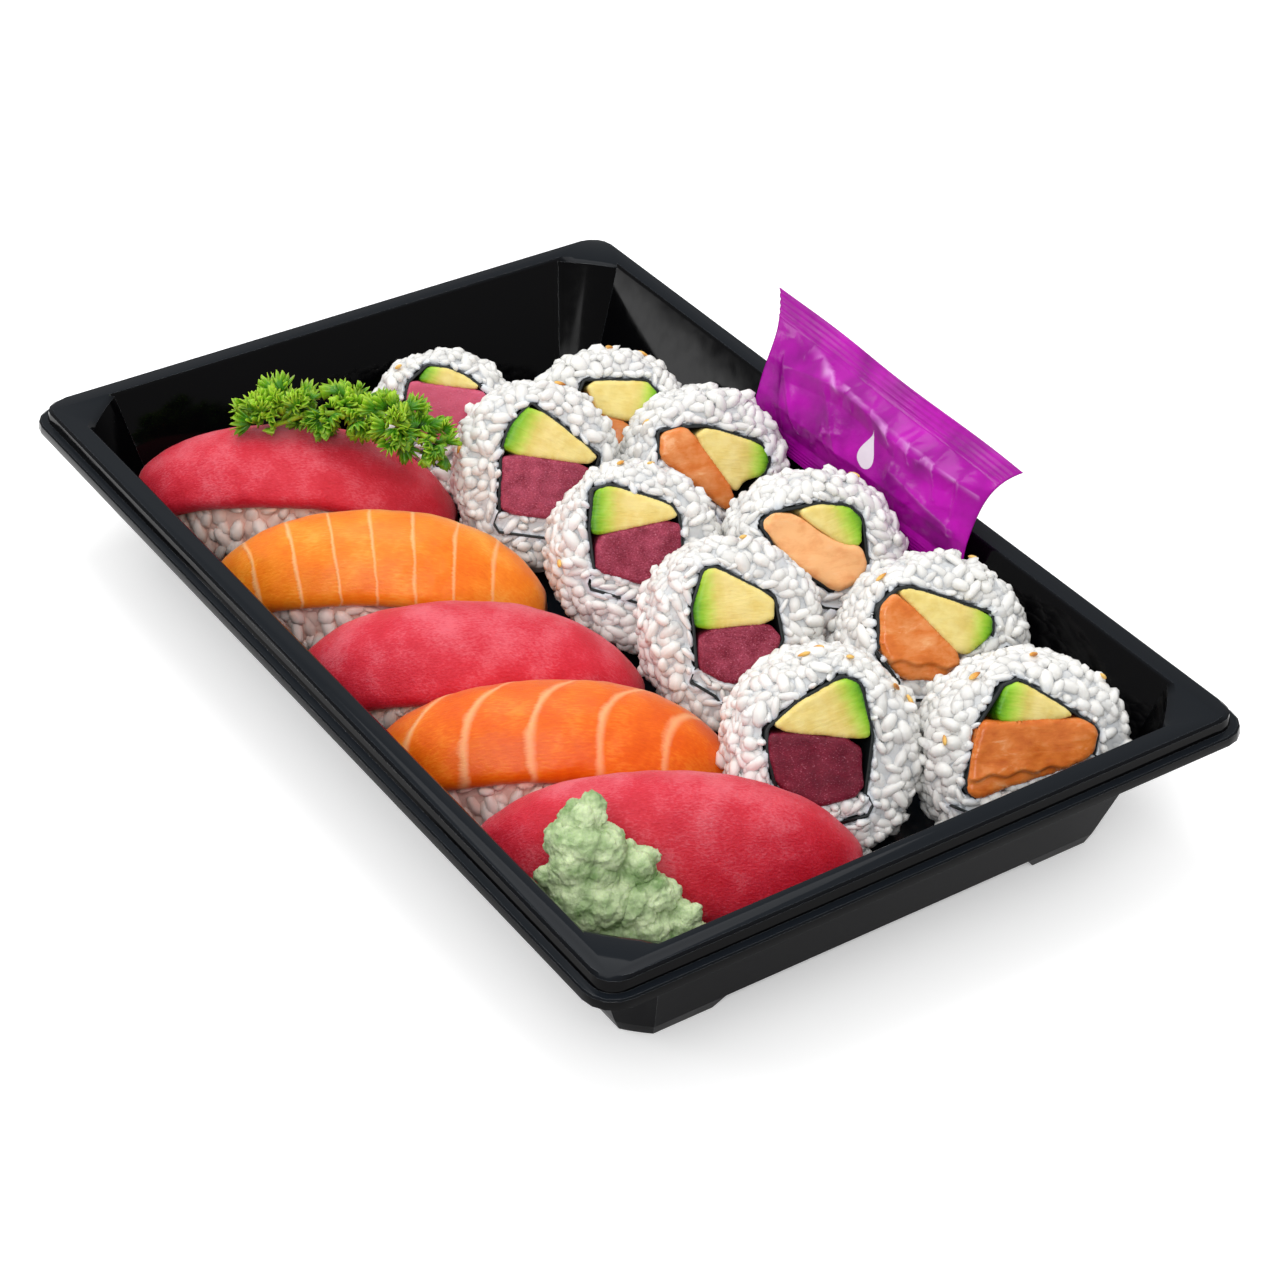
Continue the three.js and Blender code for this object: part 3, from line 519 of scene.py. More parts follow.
def face_out():
    """In edit mode: turns every face outward."""
    bpy.ops.mesh.select_all(action="SELECT")
    bpy.ops.mesh.normals_make_consistent(inside=False)


def slab(name, rows, columns):
    """A flat plate over -1..1 by -1..1, one unit thick, with even quads on both sides."""
    bpy.ops.object.select_all(action="DESELECT")
    bpy.ops.mesh.primitive_grid_add(x_subdivisions=rows, y_subdivisions=columns, size=2)
    plate = bpy.context.active_object
    plate.name = name
    bpy.ops.object.mode_set(mode="EDIT")
    bpy.ops.mesh.select_all(action="SELECT")
    bpy.ops.mesh.extrude_region_move(TRANSFORM_OT_translate={"value": (0, 0, 1)})
    face_out()
    bpy.ops.object.mode_set(mode="OBJECT")
    return plate


def held_near(points, node, stray):
    """Pulls points back that lie further than stray from a CAD solid's surface."""
    gap, foot, _ = gaps(points, solid(node))
    share = np.minimum(1, stray / np.maximum(gap, 1e-9))[:, None]
    return foot + (points - foot) * share


def fat_lines(x, y, lines):
    """Line number at each point: whole numbers are the middle of a line of fat."""
    count = np.zeros_like(x)
    places = [place + skew * y + bow * y * y for place, skew, bow in lines]
    for here, after in zip(places, places[1:]):
        count += np.clip((x - here) / (after - here), 0, 1)
    return count + np.clip((x - places[0]) / 14, -0.5, 0) + np.clip((x - places[-1]) / 14, 0, 0.5)


FAT = {
    # each line's place along the slice, its skew and its bow
    "nigiri_2": [(-33, -0.3, 0.004), (-22.5, -0.24, 0.003), (-12.5, -0.2, 0.003),
                 (-2.5, -0.14, 0.002), (8, -0.08, 0.001), (18.5, 0, 0), (28, 0.05, 0)],
    "nigiri_4": [(-31, 0.75, 0.03), (-17, 0.75, 0.032), (-2, 0.72, 0.03), (13.5, 0.7, 0.028),
                 (29, 0.75, 0.026)],
}


def calc(tree, operation, *values):
    """One step of arithmetic between patterns and numbers."""
    return add(tree, "Math", dict(enumerate(values)), operation=operation).outputs[0]


def turned(tree, spot, angle, scale=(1, 1, 1)):
    """Pattern space, turned about Z by some degrees and then scaled."""
    return add(tree, "Mapping", {"Vector": spot, "Scale": scale,
                                 "Rotation": (0, 0, math.radians(angle))}).outputs["Vector"]


def flesh_material(name, rough, glow, tones, fibre_turn, fibre, depth, painted_top_sheen):
    """Raw fish, knife cut across the muscle: wet, with short fibres that catch the light and a
    colour that glows where light sinks in, painted paler towards the crest as a painted sheen.
    Returns what a pattern of fat can go over."""
    material, tree, shader = new_material(
        name, Roughness=rough, IOR=1.4, Specular_IOR_Level=0.4, Subsurface_Weight=0.4,
        Subsurface_Radius=glow, Subsurface_Scale=2.2 * MM, Sheen_Weight=0.12, Sheen_Roughness=0.4)
    lie = read(tree, "lie", "Vector")
    fibres = noise(tree, turned(tree, lie, fibre_turn, fibre), 1, 4, Roughness=0.6)
    mixed = calc(tree, "MULTIPLY_ADD", noise(tree, lie, 0.11, 3), 0.7, 0.07)
    mixed = calc(tree, "MULTIPLY_ADD", fibres, 0.5, mixed)
    # Painted sheen: the higher on the slice, the paler the colour.
    height = add(tree, "SeparateXYZ", {"Vector": lie}).outputs["Z"]
    mixed = calc(tree, "ADD", mixed, ranged(tree, height, 20, 38, -0.5 * painted_top_sheen, painted_top_sheen))
    flesh = ramp(tree, mixed, *zip((0.5, 0.68, 0.88), tones))
    colour_from(tree, shader, flesh)
    relief = bump(tree, shader, fibres, 0.6, depth)
    return material, tree, shader, lie, flesh, fibres, relief


# Raw tuna loin: deep crimson, almost matt, with short pale fibres 0.2 mm wide all over, and a
# painted sheen that makes its crest paler.
raw_tuna = flesh_material("raw tuna slice", 0.42, (1.0, 0.16, 0.16),
                          ("#c8122a", "#d6283e", "#e4606e"), -24, (1.1, 3.0, 1.6),
                          0.5 * MM, 0.1)[0]


def salmon_material(name, tones, fat_tone, narrow, broad):
    """Raw salmon fillet: bright orange and oily, crossed by soft pale bands of fat, whose
    half widths are shares of the space between two bands."""
    material, tree, shader, lie, flesh, fibres, relief = flesh_material(
        name, 0.36, (1.0, 0.4, 0.12), tones, -8, (0.5, 2.6, 1.2), 0.2 * MM, 0.0)
    wander = noise(tree, lie, 0.14, 2)
    shift = calc(tree, "MULTIPLY_ADD", wander, 0.12, read(tree, "band"))
    shift = calc(tree, "MULTIPLY_ADD", fibres, 0.07, shift)
    swing = calc(tree, "PINGPONG", calc(tree, "SUBTRACT", shift, 0.095), 0.5)
    width = ranged(tree, wander, 0.35, 0.65, narrow, broad)
    fat = ranged(tree, swing, 0, width, 0.65, 0, interpolation_type="SMOOTHSTEP")
    colour_from(tree, shader, blend(tree, fat, flesh, linear(fat_tone)))
    height = calc(tree, "MULTIPLY_ADD", fat, 0.8, fibres)
    tree.links.new(height, relief.inputs["Height"])
    return material


SALMON = {
    "nigiri_2": salmon_material("raw salmon slice, tail", ("#f0760c", "#f88a1a", "#ffa83c"),
                                "#ffc88e", 0.05, 0.085),
    "nigiri_4": salmon_material("raw salmon slice, loin", ("#e25a02", "#ec6a06", "#f68c26"),
                                "#ffc08a", 0.08, 0.14),
}

soft_lumps = texture("slow unevenness of flesh", "CLOUDS", 9)
for name, x, y, turn, long, half, crest, left, right, drape, fish in NIGIRI:
    cut = slab(f"{name}_slice", SLICE_ROWS, SLICE_COLUMNS)
    s, t, top = coordinates(cut.data).T
    fall = np.where(s < 0, left, right) * (0.72 * np.abs(s) ** 2.1 + 0.28 * s ** 6)
    drop = drape * np.abs(t) ** 2.3 * (1 - 0.2 * s * s)
    share = np.maximum(t ** 4, 0.8 * s ** 4)
    thick = (SLICE_THICK + (SLICE_EDGE - SLICE_THICK) * share) * (1 - top)
    across = t * half * (1 - 0.16 * s * s - 0.26 * s ** 4)
    local = np.stack([s * long * (0.97 + 0.03 * top), across * (0.86 + 0.14 * top),
                      crest - fall - drop - thick], 1)
    around = Matrix.Rotation(math.radians(turn), 3, "Z")
    placed = (local @ np.array(around).T + (x, y, 0)) * MM
    cut.data.vertices.foreach_set("co", held_near(placed, f"{name}_{fish}", STRAY).ravel())
    # Each slice reads its own part of the patterns.
    note(cut.data, "lie", local + (17 * x, 0, 0))
    if name in FAT:
        note(cut.data, "band", fat_lines(local[:, 0], local[:, 1], FAT[name]))
    work(cut, "SUBSURF", levels=2, render_levels=2)
    work(cut, "DISPLACE", texture=soft_lumps, strength=SLICE_LUMPS, mid_level=0.5)
    bpy.ops.object.shade_smooth()
    settle(cut, SALMON.get(name, raw_tuna), fish, f"{name}_{fish}")


# ---------------------------------------------------------------- soy sachet
# A pillow pack of soy sauce in purple laminated film, sealed flat along its two long
# edges. It stands on edge between the rolls and the wall and leans out over the rim.
SACHET_LINE = [(73.6, 27.5), (74.5, 35), (76.2, 43.5), (80, 52), (85.6, 62.5)]
SACHET_Y, SACHET_HALF, SACHET_FLARE = -2, 43, 6
SACHET_FILL, SACHET_FILM, SACHET_SEAL, SACHET_SINK = 4.6, 0.35, 0.13, 3
SACHET_ROWS, SACHET_COLUMNS = 110, 180
FOLD_CLIMB, RIB_STEP, RIB_HEIGHT = 0.74, 1.1, 0.2
DROP_AT, DROP_SIZE, DROP_TALL = (-4, 18.5), 3.0, 2.6
SMALL_CREASES = 36
CREASES = [
    # ridge from (along, up) to (along, up) on the flat film, height and spread, all in mm
    (40, 34, 18, 31, 1.5, 2.0), (18, 31, -8, 29, 1.6, 2.2), (-8, 29, -41, 28, 1.5, 2.0),
    (36, 27, 24, 12, 1.3, 2.2), (-6, 33, -11, 26, 1.2, 1.5), (-16, 33, -19, 25, 1.0, 1.2),
    (-25, 33, -30, 21, 1.3, 1.5), (-35, 31, -37, 14, 1.0, 1.3), (22, 33, 12, 29, 0.9, 1.1),
    (-14, 20, -38, 16, 1.1, 1.8), (30, 8, 34, 22, 0.7, 2.0), (16, 26, 6, 14, 0.9, 2.0),
]
rng = np.random.default_rng(12)
for _ in range(SMALL_CREASES):
    along, up = 40 - 80 * rng.random() ** 0.8, rng.uniform(6, 32)
    way, reach = rng.normal(1.9, 0.5), rng.uniform(3, 10)
    CREASES.append((along, up, along + reach * math.cos(way), up + reach * math.sin(way),
                    rng.choice((-1, 1)) * rng.uniform(0.25, 0.65), rng.uniform(0.6, 1.2)))


def creased(along, up):
    """Relief of the front film in mm: the sum of its sharp ridges and furrows, which stay
    off the printed drop."""
    relief = np.zeros_like(along)
    for x, y, to_x, to_y, height, spread in CREASES:
        run_x, run_y = to_x - x, to_y - y
        share = np.clip(((along - x) * run_x + (up - y) * run_y) / (run_x ** 2 + run_y ** 2),
                        0, 1)
        away = np.hypot(along - x - share * run_x, up - y - share * run_y)
        relief += height * np.exp(-away / spread)
    flat = 1 - np.exp(-((along - DROP_AT[0]) ** 2 + (up - DROP_AT[1] - 2) ** 2) / 60)
    return relief * flat


# Printed plastic laminate, heat sealed: a smooth glossy film in one deep purple with a pale drop
# printed on it. The ink is painted paler on the crests of its creases, as a painted highlight.
purple_film, tree, shader = new_material("printed laminate film", Roughness=0.2, IOR=1.5,
                                         Specular_IOR_Level=0.22)
film = read(tree, "film", "Vector")
ink = ramp(tree, noise(tree, film, 0.08, 3), (0.32, "#84037e"), (0.66, "#ba0eae"))
# Painted highlight: pale lilac on the crests of the creases.
ink_with_painted_highlight = blend(tree, read(tree, "crest"), ink, linear("#d78fd6"))
centred = add(tree, "VectorMath", {0: film, 1: (*DROP_AT, 0)}, operation="SUBTRACT")
from_drop = add(tree, "SeparateXYZ", {"Vector": centred.outputs[0]})
# The drop is half a circle below its middle, drawn out to a point above, on the front only.
low = calc(tree, "MINIMUM", from_drop.outputs["Y"], 0)
low = calc(tree, "SUBTRACT", DROP_SIZE ** 2, calc(tree, "MULTIPLY", low, low))
high = calc(tree, "MAXIMUM", from_drop.outputs["Y"], 0)
tip = ranged(tree, high, 0, DROP_TALL * DROP_SIZE, 1, 0, interpolation_type="SMOOTHSTEP")
reach = calc(tree, "MULTIPLY", calc(tree, "POWER", low, 0.5), tip)
drop = calc(tree, "LESS_THAN", calc(tree, "ABSOLUTE", from_drop.outputs["X"]), reach)
drop = calc(tree, "MULTIPLY", drop, calc(tree, "GREATER_THAN", from_drop.outputs["Z"], 0.5))
colour_from(tree, shader, blend(tree, drop, ink_with_painted_highlight, linear("#e2d8e4")))
bump(tree, shader, noise(tree, film, 0.5, 3), 0.35, 0.4 * MM)

sachet = slab("soy_sachet_film", SACHET_ROWS, SACHET_COLUMNS)
climb, t, top = coordinates(sachet.data).T
climb = (climb + 1) / 2
side = 2 * top - 1
stops = np.linspace(0, 1, len(SACHET_LINE))
fit_x = np.polyfit(stops, [p[0] for p in SACHET_LINE], 3)
fit_z = np.polyfit(stops, [p[1] for p in SACHET_LINE], 3)
run_x, run_z = np.polyval(np.polyder(fit_x), climb), np.polyval(np.polyder(fit_z), climb)
length = np.hypot(run_x, run_z)
# Both faces swell between the seals; the front climbs to a fold and falls off flat above it.
past_seal = np.minimum(climb, 1 - climb) / SACHET_SEAL - 1
inside = np.clip(past_seal, 0, 1)
ends = 1 - np.abs(t) ** 3
ridge = FOLD_CLIMB + 0.05 * np.sin(4.1 * t + 0.6) - 0.05 * t
facet = np.clip((1 - SACHET_SEAL - climb) / (1 - SACHET_SEAL - ridge), 0, 1)
below_ridge = np.clip((ridge - climb) / 0.1, 0, 1) * np.clip((climb - SACHET_SEAL) / 0.2, 0, 1)
pillow = np.where(side > 0, ends * (facet * np.clip((climb - SACHET_SEAL) / 0.25, 0, 1)
                                    - 0.3 * below_ridge), np.sqrt(inside) * ends)
room = np.clip(past_seal, 0, 0.4) / 0.4
bulge = SACHET_FILM / 2 + SACHET_FILL * pillow
across, up = SACHET_HALF * t, length.mean() * climb
folds = 0.9 * creased(across, up) - 0.9
bulge = np.where(side > 0, bulge + folds * room * (1 - t ** 8), bulge)
sealed = (past_seal < 0) & (side > 0)
rib = RIB_HEIGHT * np.cos(2 * math.pi * up / RIB_STEP) * sealed
wave = 1.4 * np.sin(5 * t + 2) * np.clip(climb - 0.8, 0, 1) * 4
out = side * (bulge + rib) + wave
middle = np.stack([
    np.polyval(fit_x, climb), SACHET_Y + t * (SACHET_HALF + SACHET_FLARE
                                              * np.abs(2 * climb - 1) ** 4),
    np.polyval(fit_z, climb) - SACHET_SINK * (1 - t) / 2 * climb ** 2], 1) * MM
turned_out = np.stack([-run_z / length, np.zeros_like(t), run_x / length], 1)
placed = middle + turned_out * out[:, None] * MM
sachet.data.vertices.foreach_set("co", stopped_by_tray(placed, middle).ravel())
note(sachet.data, "film", np.stack([across, up, top], 1))
# Painted highlight: the ink is painted paler where the film is high and rises steeply from just
# below.
rise = folds + 0.9 - 0.9 * creased(across, length.mean() * (climb - 0.02))
note(sachet.data, "crest", 0.85 * ease((rise - 0.15) / 0.5) * ease((folds + 0.9) / 1.2) * room)
bpy.ops.object.mode_set(mode="EDIT")
face_out()
bpy.ops.object.mode_set(mode="OBJECT")
bpy.ops.object.shade_smooth()
settle(sachet, purple_film, "sachet", "soy_sachet")


# ---------------------------------------------------------------- rolls
# Ten inside-out rolls, cut with a knife and stood leaning back. Sheets of nori are rolled
# round a stick of avocado and one of fish, with rice outside and inside the free end.
ROLL_SPACING = 2.15 * MM
ROLLS = [
    # name, x, y, turn, lean, half width, half height, length, lift, fish, colour of the fish,
    # direction of the avocado's skin, width of its green, sesame as (angle, depth)
    ("tuna_roll_1", 3.7, 79, -24, 32, 19.8, 19.8, 24, 0, "tuna", 1.0, 150, 6, [(125, 3)]),
    ("salmon_roll_1", 41.2, 58.4, -22, 34, 22.4, 20.2, 22, -0.7, "salmon", 0.25, -15, 7,
     [(85, 4), (60, 9)]),
    ("tuna_roll_2", 11.3, 45.1, -24, 32, 21, 22.2, 27, -1.6, "tuna", 0.45, 150, 9,
     [(161, 4), (70, 8)]),
    ("salmon_roll_2", 49.7, 24.1, -18, 32, 21.2, 20.8, 25, 0, "salmon", 0.25, -10, 8,
     [(139, 3)]),
    ("tuna_roll_3", 12.4, 0.7, -24, 32, 20.9, 21.2, 29, -1.3, "tuna", 0.35, 175, 9,
     [(78, 5), (97, 8), (184, 3)]),
    ("salmon_roll_3", 47.4, -26.6, -18, 32, 22.2, 21.6, 27, 0.2, "salmon", 0.85, 15, 9,
     [(60, 6)]),
    ("tuna_roll_4", 13.1, -39, -24, 32, 21.8, 21.4, 27, 0, "tuna", 0.3, 180, 8, [(81, 5)]),
    ("salmon_roll_4", 50.5, -70.4, -16, 32, 22.8, 22, 26, -0.9, "salmon", 0.22, -15, 8,
     [(122, 5), (60, 7)]),
    ("tuna_roll_5", 4.2, -87.8, -24, 30, 21.8, 22.2, 28, -1.8, "tuna", 0.0, 20, 8,
     [(74, 3), (40, 2), (27, 3), (101, 5), (90, 9)]),
    ("salmon_roll_5", 43.6, -112.3, -20, 30, 24.4, 22.4, 27, -2.6, "salmon", 0.1, 165, 9,
     [(120, 4), (85, 4), (43, 4), (162, 1.5)]),
]
REST = 4.0
# The roll's share of its full width at some depths, from its back end and from its cut face.
ROLL_BACK = [(0, 0.76), (4.5, 1)]
ROLL_FRONT = [(0, 0.73), (1.3, 0.88), (3.6, 0.965), (7, 1), (99, 1)]
STICK_VOXEL, STICK_SWELL, NORI_TURN = 0.42 * MM, 0.5 * MM, 1.1 * MM
AVOCADO_LUMPS, TUNA_LUMPS, SALMON_LUMPS = 0.5 * MM, 0.6 * MM, 1.0 * MM
# How far apart two sticks read their patterns, in mm for each metre between them.
PATTERNS_APART = 900

# Painted shade: bluish grey in the gaps between grains and beside the nori.
steamed_rice = rice_material("steamed sticky rice", ("#f4f3ef", "#e8e7e4", "#d3d8dd"),
                             "#dbe1e8")

# Roasted seaweed sheet: nearly black green, thin, with a faint papery grain.
roasted_nori, tree, shader = new_material("roasted nori sheet", Roughness=0.5, IOR=1.45)
pulp = noise(tree, add(tree, "TexCoord").outputs["Object"], 900, 3)
colour_from(tree, shader, ramp(tree, pulp, (0, "#07090b"), (1, "#1b2426")))
bump(tree, shader, pulp, 0.5, 0.2 * MM)

# Ripe avocado, knife cut: buttery yellow inside, passing to bright and then dark green in
# the last millimetres under the skin, with the faint drag marks of the knife.
ripe_avocado, tree, shader = new_material(
    "ripe avocado", Roughness=0.4, IOR=1.42, Subsurface_Weight=0.2,
    Subsurface_Radius=(1.0, 0.85, 0.3), Subsurface_Scale=1.2 * MM)
lie = read(tree, "lie", "Vector")
marks = noise(tree, turned(tree, lie, 0, (0.35, 1.6, 0.5)), 1, 4)
depth = calc(tree, "MULTIPLY_ADD", marks, 0.22, read(tree, "skin"))
pulp = ramp(tree, calc(tree, "SUBTRACT", depth, 0.11), (0, "#2f6d08"), (0.1, "#5fa512"),
            (0.28, "#93c92a"), (0.5, "#c5da58"), (0.75, "#e4d678"), (1, "#f1de8e"))
blotch = ramp(tree, noise(tree, lie, 0.3, 3), (0.35, "#f7f0d8"), (0.6, "#ffffff"))
colour_from(tree, shader, blend(tree, 1, pulp, blotch, "MULTIPLY"))
bump(tree, shader, marks, 0.4, 0.35 * MM)


def block_material(name, tones, speck_tone, speck_share, fibre, gloss, depth):
    """Raw fish in a block, cut across its muscle: short fibres, and specks or threads of
    paler tissue that shine. The tint attribute sets how pale the whole block is."""
    material, tree, shader = new_material(
        name, Roughness=gloss, IOR=1.4, Specular_IOR_Level=0.4, Subsurface_Weight=0.2,
        Subsurface_Radius=(1.0, 0.3, 0.2), Subsurface_Scale=1.2 * MM)
    lie = read(tree, "lie", "Vector")
    fibres = noise(tree, turned(tree, lie, 30, fibre), 1, 4, Roughness=0.65, Distortion=0.4)
    mixed = calc(tree, "MULTIPLY_ADD", noise(tree, lie, 0.3, 3), 0.4, read(tree, "tint"))
    mixed = calc(tree, "MULTIPLY_ADD", fibres, 0.6, mixed)
    flesh = ramp(tree, mixed, *zip((0.28, 0.57, 0.95), tones))
    speck = ranged(tree, fibres, 0.6, 0.72, 0, speck_share)
    colour_from(tree, shader, blend(tree, speck, flesh, linear(speck_tone)))
    bump(tree, shader, fibres, 0.6, depth)
    return material


tuna_block = block_material("raw tuna block", ("#520a20", "#7c1832", "#d05c78"), "#e0a0b2",
                            0.5, (2.2, 3.2, 2.2), 0.42, 0.35 * MM)
salmon_block = block_material("raw salmon block", ("#b5480e", "#de7c36", "#ffc084"), "#ffdcb4",
                              0.3, (0.12, 0.3, 0.2), 0.14, 0.3 * MM)

flesh_lumps = texture("unevenness of cut flesh", "CLOUDS", 5)
flesh_folds = texture("folds of salmon muscle", "WOOD", 9, wood_type="BANDNOISE", turbulence=4)
# Height and slope of the line where two lumps of a salmon block meet.
FOLDS = {"salmon_roll_4": (-4.4, -0.27), "salmon_roll_5": (-3.1, 0)}


def stand(x, y, turn, lean, half_high, length, lift):
    """Place and axes of a roll's cut face: right, up and out of the cut."""
    a, e = math.radians(turn), math.radians(lean)
    out = Vector((math.sin(a) * math.cos(e), -math.cos(a) * math.cos(e), math.sin(e)))
    right = Vector((0, 0, 1)).cross(out).normalized()
    below = max((length - depth) * math.sin(e) + half_high * share * math.cos(e)
                for depth, share in ROLL_BACK)
    axes = Matrix((right, out.cross(right), out)).transposed()
    return np.array((x, y, REST + lift + below)) * MM, np.array(axes)


def filling(node, pattern, lumps, foot, axes):
    """A stick of filling that fills its wrap: knife edges eased, faces a little uneven."""
    stick = reworked(node, f"{node}_stick")
    work(stick, "REMESH", mode="VOXEL", voxel_size=STICK_VOXEL)
    work(stick, "DISPLACE", strength=STICK_SWELL, mid_level=0)
    work(stick, "SMOOTH", factor=0.5, iterations=3)
    work(stick, "DISPLACE", texture=pattern, strength=lumps, mid_level=0.5)
    bpy.ops.object.shade_smooth()
    return stick, (coordinates(stick.data) - foot) @ axes / MM


def fold(block, local, out, base, slope):
    """Lays the upper lump of a salmon block over the lower one, along a wavy line."""
    x, y, z = local.T
    over = y - base - slope * x - 0.45 * np.sin(0.9 * x)
    lift = 0.8 * np.tanh(over / 0.35) * np.exp(-np.abs(over) / 3) * ease((z + 2.5) / 2.5)
    moved = coordinates(block.data) + np.outer(lift, out) * MM
    block.data.vertices.foreach_set("co", moved.ravel())


def wrap(node, out):
    """The nori of one roll, its sharp turns rounded as a damp sheet bends."""
    sheet = reworked(node, f"{node}_sheet")
    bpy.ops.object.mode_set(mode="EDIT")
    bpy.ops.mesh.select_all(action="DESELECT")
    bpy.ops.object.mode_set(mode="OBJECT")
    spots = sheet.data.vertices
    for edge in sheet.data.edges:
        run = spots[edge.vertices[1]].co - spots[edge.vertices[0]].co
        edge.select = abs(run.normalized().dot(out)) > 0.98 and run.length > 4 * MM
    bpy.ops.object.mode_set(mode="EDIT")
    bpy.ops.mesh.bevel(offset=NORI_TURN, segments=3, affect="EDGES", clamp_overlap=True)
    bpy.ops.object.mode_set(mode="OBJECT")
    bpy.ops.object.shade_smooth_by_angle(angle=math.radians(50))
    settle(sheet, roasted_nori, "nori", node)


seed_places, seed_turns = [], []
for count, (name, x, y, turn, lean, wide, high, length, lift, fish, tint, skin_side, green,
            seeds) in enumerate(ROLLS):
    foot, axes = stand(x, y, turn, lean, high, length, lift)
    inner = solid(f"{name}_nori", f"{name}_avocado", f"{name}_{fish}")
    rice_piece(f"{name}_rice", inner, ROLL_SPACING, 1, 0, steamed_rice, 40 + count)
    wrap(f"{name}_nori", Vector(axes[:, 2]))

    avocado, local = filling(f"{name}_avocado", flesh_lumps, AVOCADO_LUMPS, foot, axes)
    a = math.radians(skin_side)
    to_skin = local @ np.array([(math.cos(a), math.sin(a), 0), (-math.sin(a), math.cos(a), 0),
                                (0, 0, 1)]).T
    note(avocado.data, "lie", to_skin + foot * PATTERNS_APART)
    note(avocado.data, "skin", (to_skin[:, 0].max() - to_skin[:, 0]) / green)
    settle(avocado, ripe_avocado, "avocado", f"{name}_avocado")

    if fish == "tuna":
        block, local = filling(f"{name}_tuna", flesh_lumps, TUNA_LUMPS, foot, axes)
    else:
        block, local = filling(f"{name}_salmon", flesh_folds, SALMON_LUMPS, foot, axes)
        if name in FOLDS:
            fold(block, local, axes[:, 2], *FOLDS[name])
    note(block.data, "lie", local + foot * PATTERNS_APART)
    note(block.data, "tint", np.full(len(local), 0.5 * tint))
    settle(block, tuna_block if fish == "tuna" else salmon_block, f"{fish}_cut",
           f"{name}_{fish}")
    for angle, depth in seeds:
        a = math.radians(angle)
        share = np.interp(depth, *zip(*ROLL_FRONT))
        seed_places.append(foot + axes @ (wide * share * math.cos(a),
                                          high * share * math.sin(a), -depth) * MM)
        seed_turns.append(axes @ np.array([(-math.sin(a), 0, math.cos(a)),
                                           (math.cos(a), 0, math.sin(a)), (0, 1, 0)]))


# ---------------------------------------------------------------- sesame seeds
# A few toasted white sesame seeds stick to the outside of the rolls: flat drops about 3 mm
# long, each turned at random.
SEED_LONG, SEED_WIDE, SEED_THICK, SEED_LIFT = 3.2, 1.9, 1.0, 0.75

# Toasted sesame: a thin matt skin, golden with browner, darker tips.
toasted_sesame, tree, shader = new_material(
    "toasted sesame seed", Roughness=0.45, IOR=1.45, Subsurface_Weight=0.2,
    Subsurface_Radius=(1.0, 0.6, 0.2), Subsurface_Scale=0.5 * MM)
colour_from(tree, shader, ramp(tree, read(tree, "tip"), (0, "#f0c36c"), (0.6, "#dc9c3e"),
                               (1, "#a8621c")))

rng = np.random.default_rng(5)
bpy.ops.object.select_all(action="DESELECT")
for place, axes in zip(seed_places, seed_turns):
    bpy.ops.mesh.primitive_ico_sphere_add(subdivisions=3, radius=1)
    seed = bpy.context.active_object
    x, y, z = coordinates(seed.data).T
    drop = np.stack([SEED_LONG / 2 * x, SEED_WIDE / 2 * y * (1 - 0.5 * np.clip(x, 0, 1) ** 1.5),
                     SEED_THICK / 2 * z * (1 - 0.4 * np.clip(x, 0, 1)) + SEED_LIFT], 1) * MM
    spin = Matrix.Rotation(rng.uniform(0, 6.3), 3, "Z") @ Matrix.Rotation(
        rng.uniform(-0.3, 0.3), 3, "X")
    seed.data.vertices.foreach_set("co", (place + drop @ np.array(spin).T @ axes.T).ravel())
    note(seed.data, "tip", np.clip(0.3 + 0.7 * x + rng.uniform(-0.3, 0.3), 0, 1))
    seed.select_set(True)
for piece in bpy.context.scene.objects:
    piece.select_set(piece.name.startswith("Icosphere"))
bpy.ops.object.join()
seeds = bpy.context.active_object
seeds.name = "sesame_seeds"
bpy.ops.object.shade_smooth()
seeds.data.materials.append(toasted_sesame)
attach(seeds, "root")


# ---------------------------------------------------------------- wasabi
# A heap of grated wasabi paste, pinched off and set in the front left corner: soft lumps
# with a crumbly skin.
HEAP_VOXEL, HEAP_SKIN = 0.4 * MM, 0.8 * MM
pale_wasabi, tree, shader = new_material(
    "grated wasabi paste", Roughness=0.62, IOR=1.4, Subsurface_Weight=0.3,
    Subsurface_Radius=(0.8, 1.0, 0.5), Subsurface_Scale=1.5 * MM)
spot = add(tree, "TexCoord").outputs["Object"]
mash = noise(tree, spot, 220, 5)
colour_from(tree, shader, ramp(tree, mash, (0.3, "#7b9c60"), (0.65, "#d0e0b2")))
bump(tree, shader, noise(tree, spot, 900, 4), 0.8, 0.9 * MM)

cells = {"distance_metric": "DISTANCE_SQUARED"}
heap = reworked("wasabi", "wasabi_heap")
work(heap, "REMESH", mode="VOXEL", voxel_size=HEAP_VOXEL)
work(heap, "SMOOTH", factor=0.5, iterations=8)
within = coordinates(heap.data) - HEAP_SKIN * coordinates(heap.data, "normal")
for pattern, strength, middle in (
        (texture("lumps of paste", "VORONOI", 7, **cells), -3.4, 0.45),
        (texture("crumbs of paste", "VORONOI", 2.4, **cells), -1.0, 0.35),
        (texture("grated skin of paste", "CLOUDS", 0.9), 1.0, 0.5)):
    work(heap, "DISPLACE", texture=pattern, strength=strength * MM, mid_level=middle)
heap.data.vertices.foreach_set("co", stopped_by_tray(coordinates(heap.data), within).ravel())
heap.data.update()
bpy.ops.object.shade_smooth()
settle(heap, pale_wasabi, "wasabi", "wasabi")


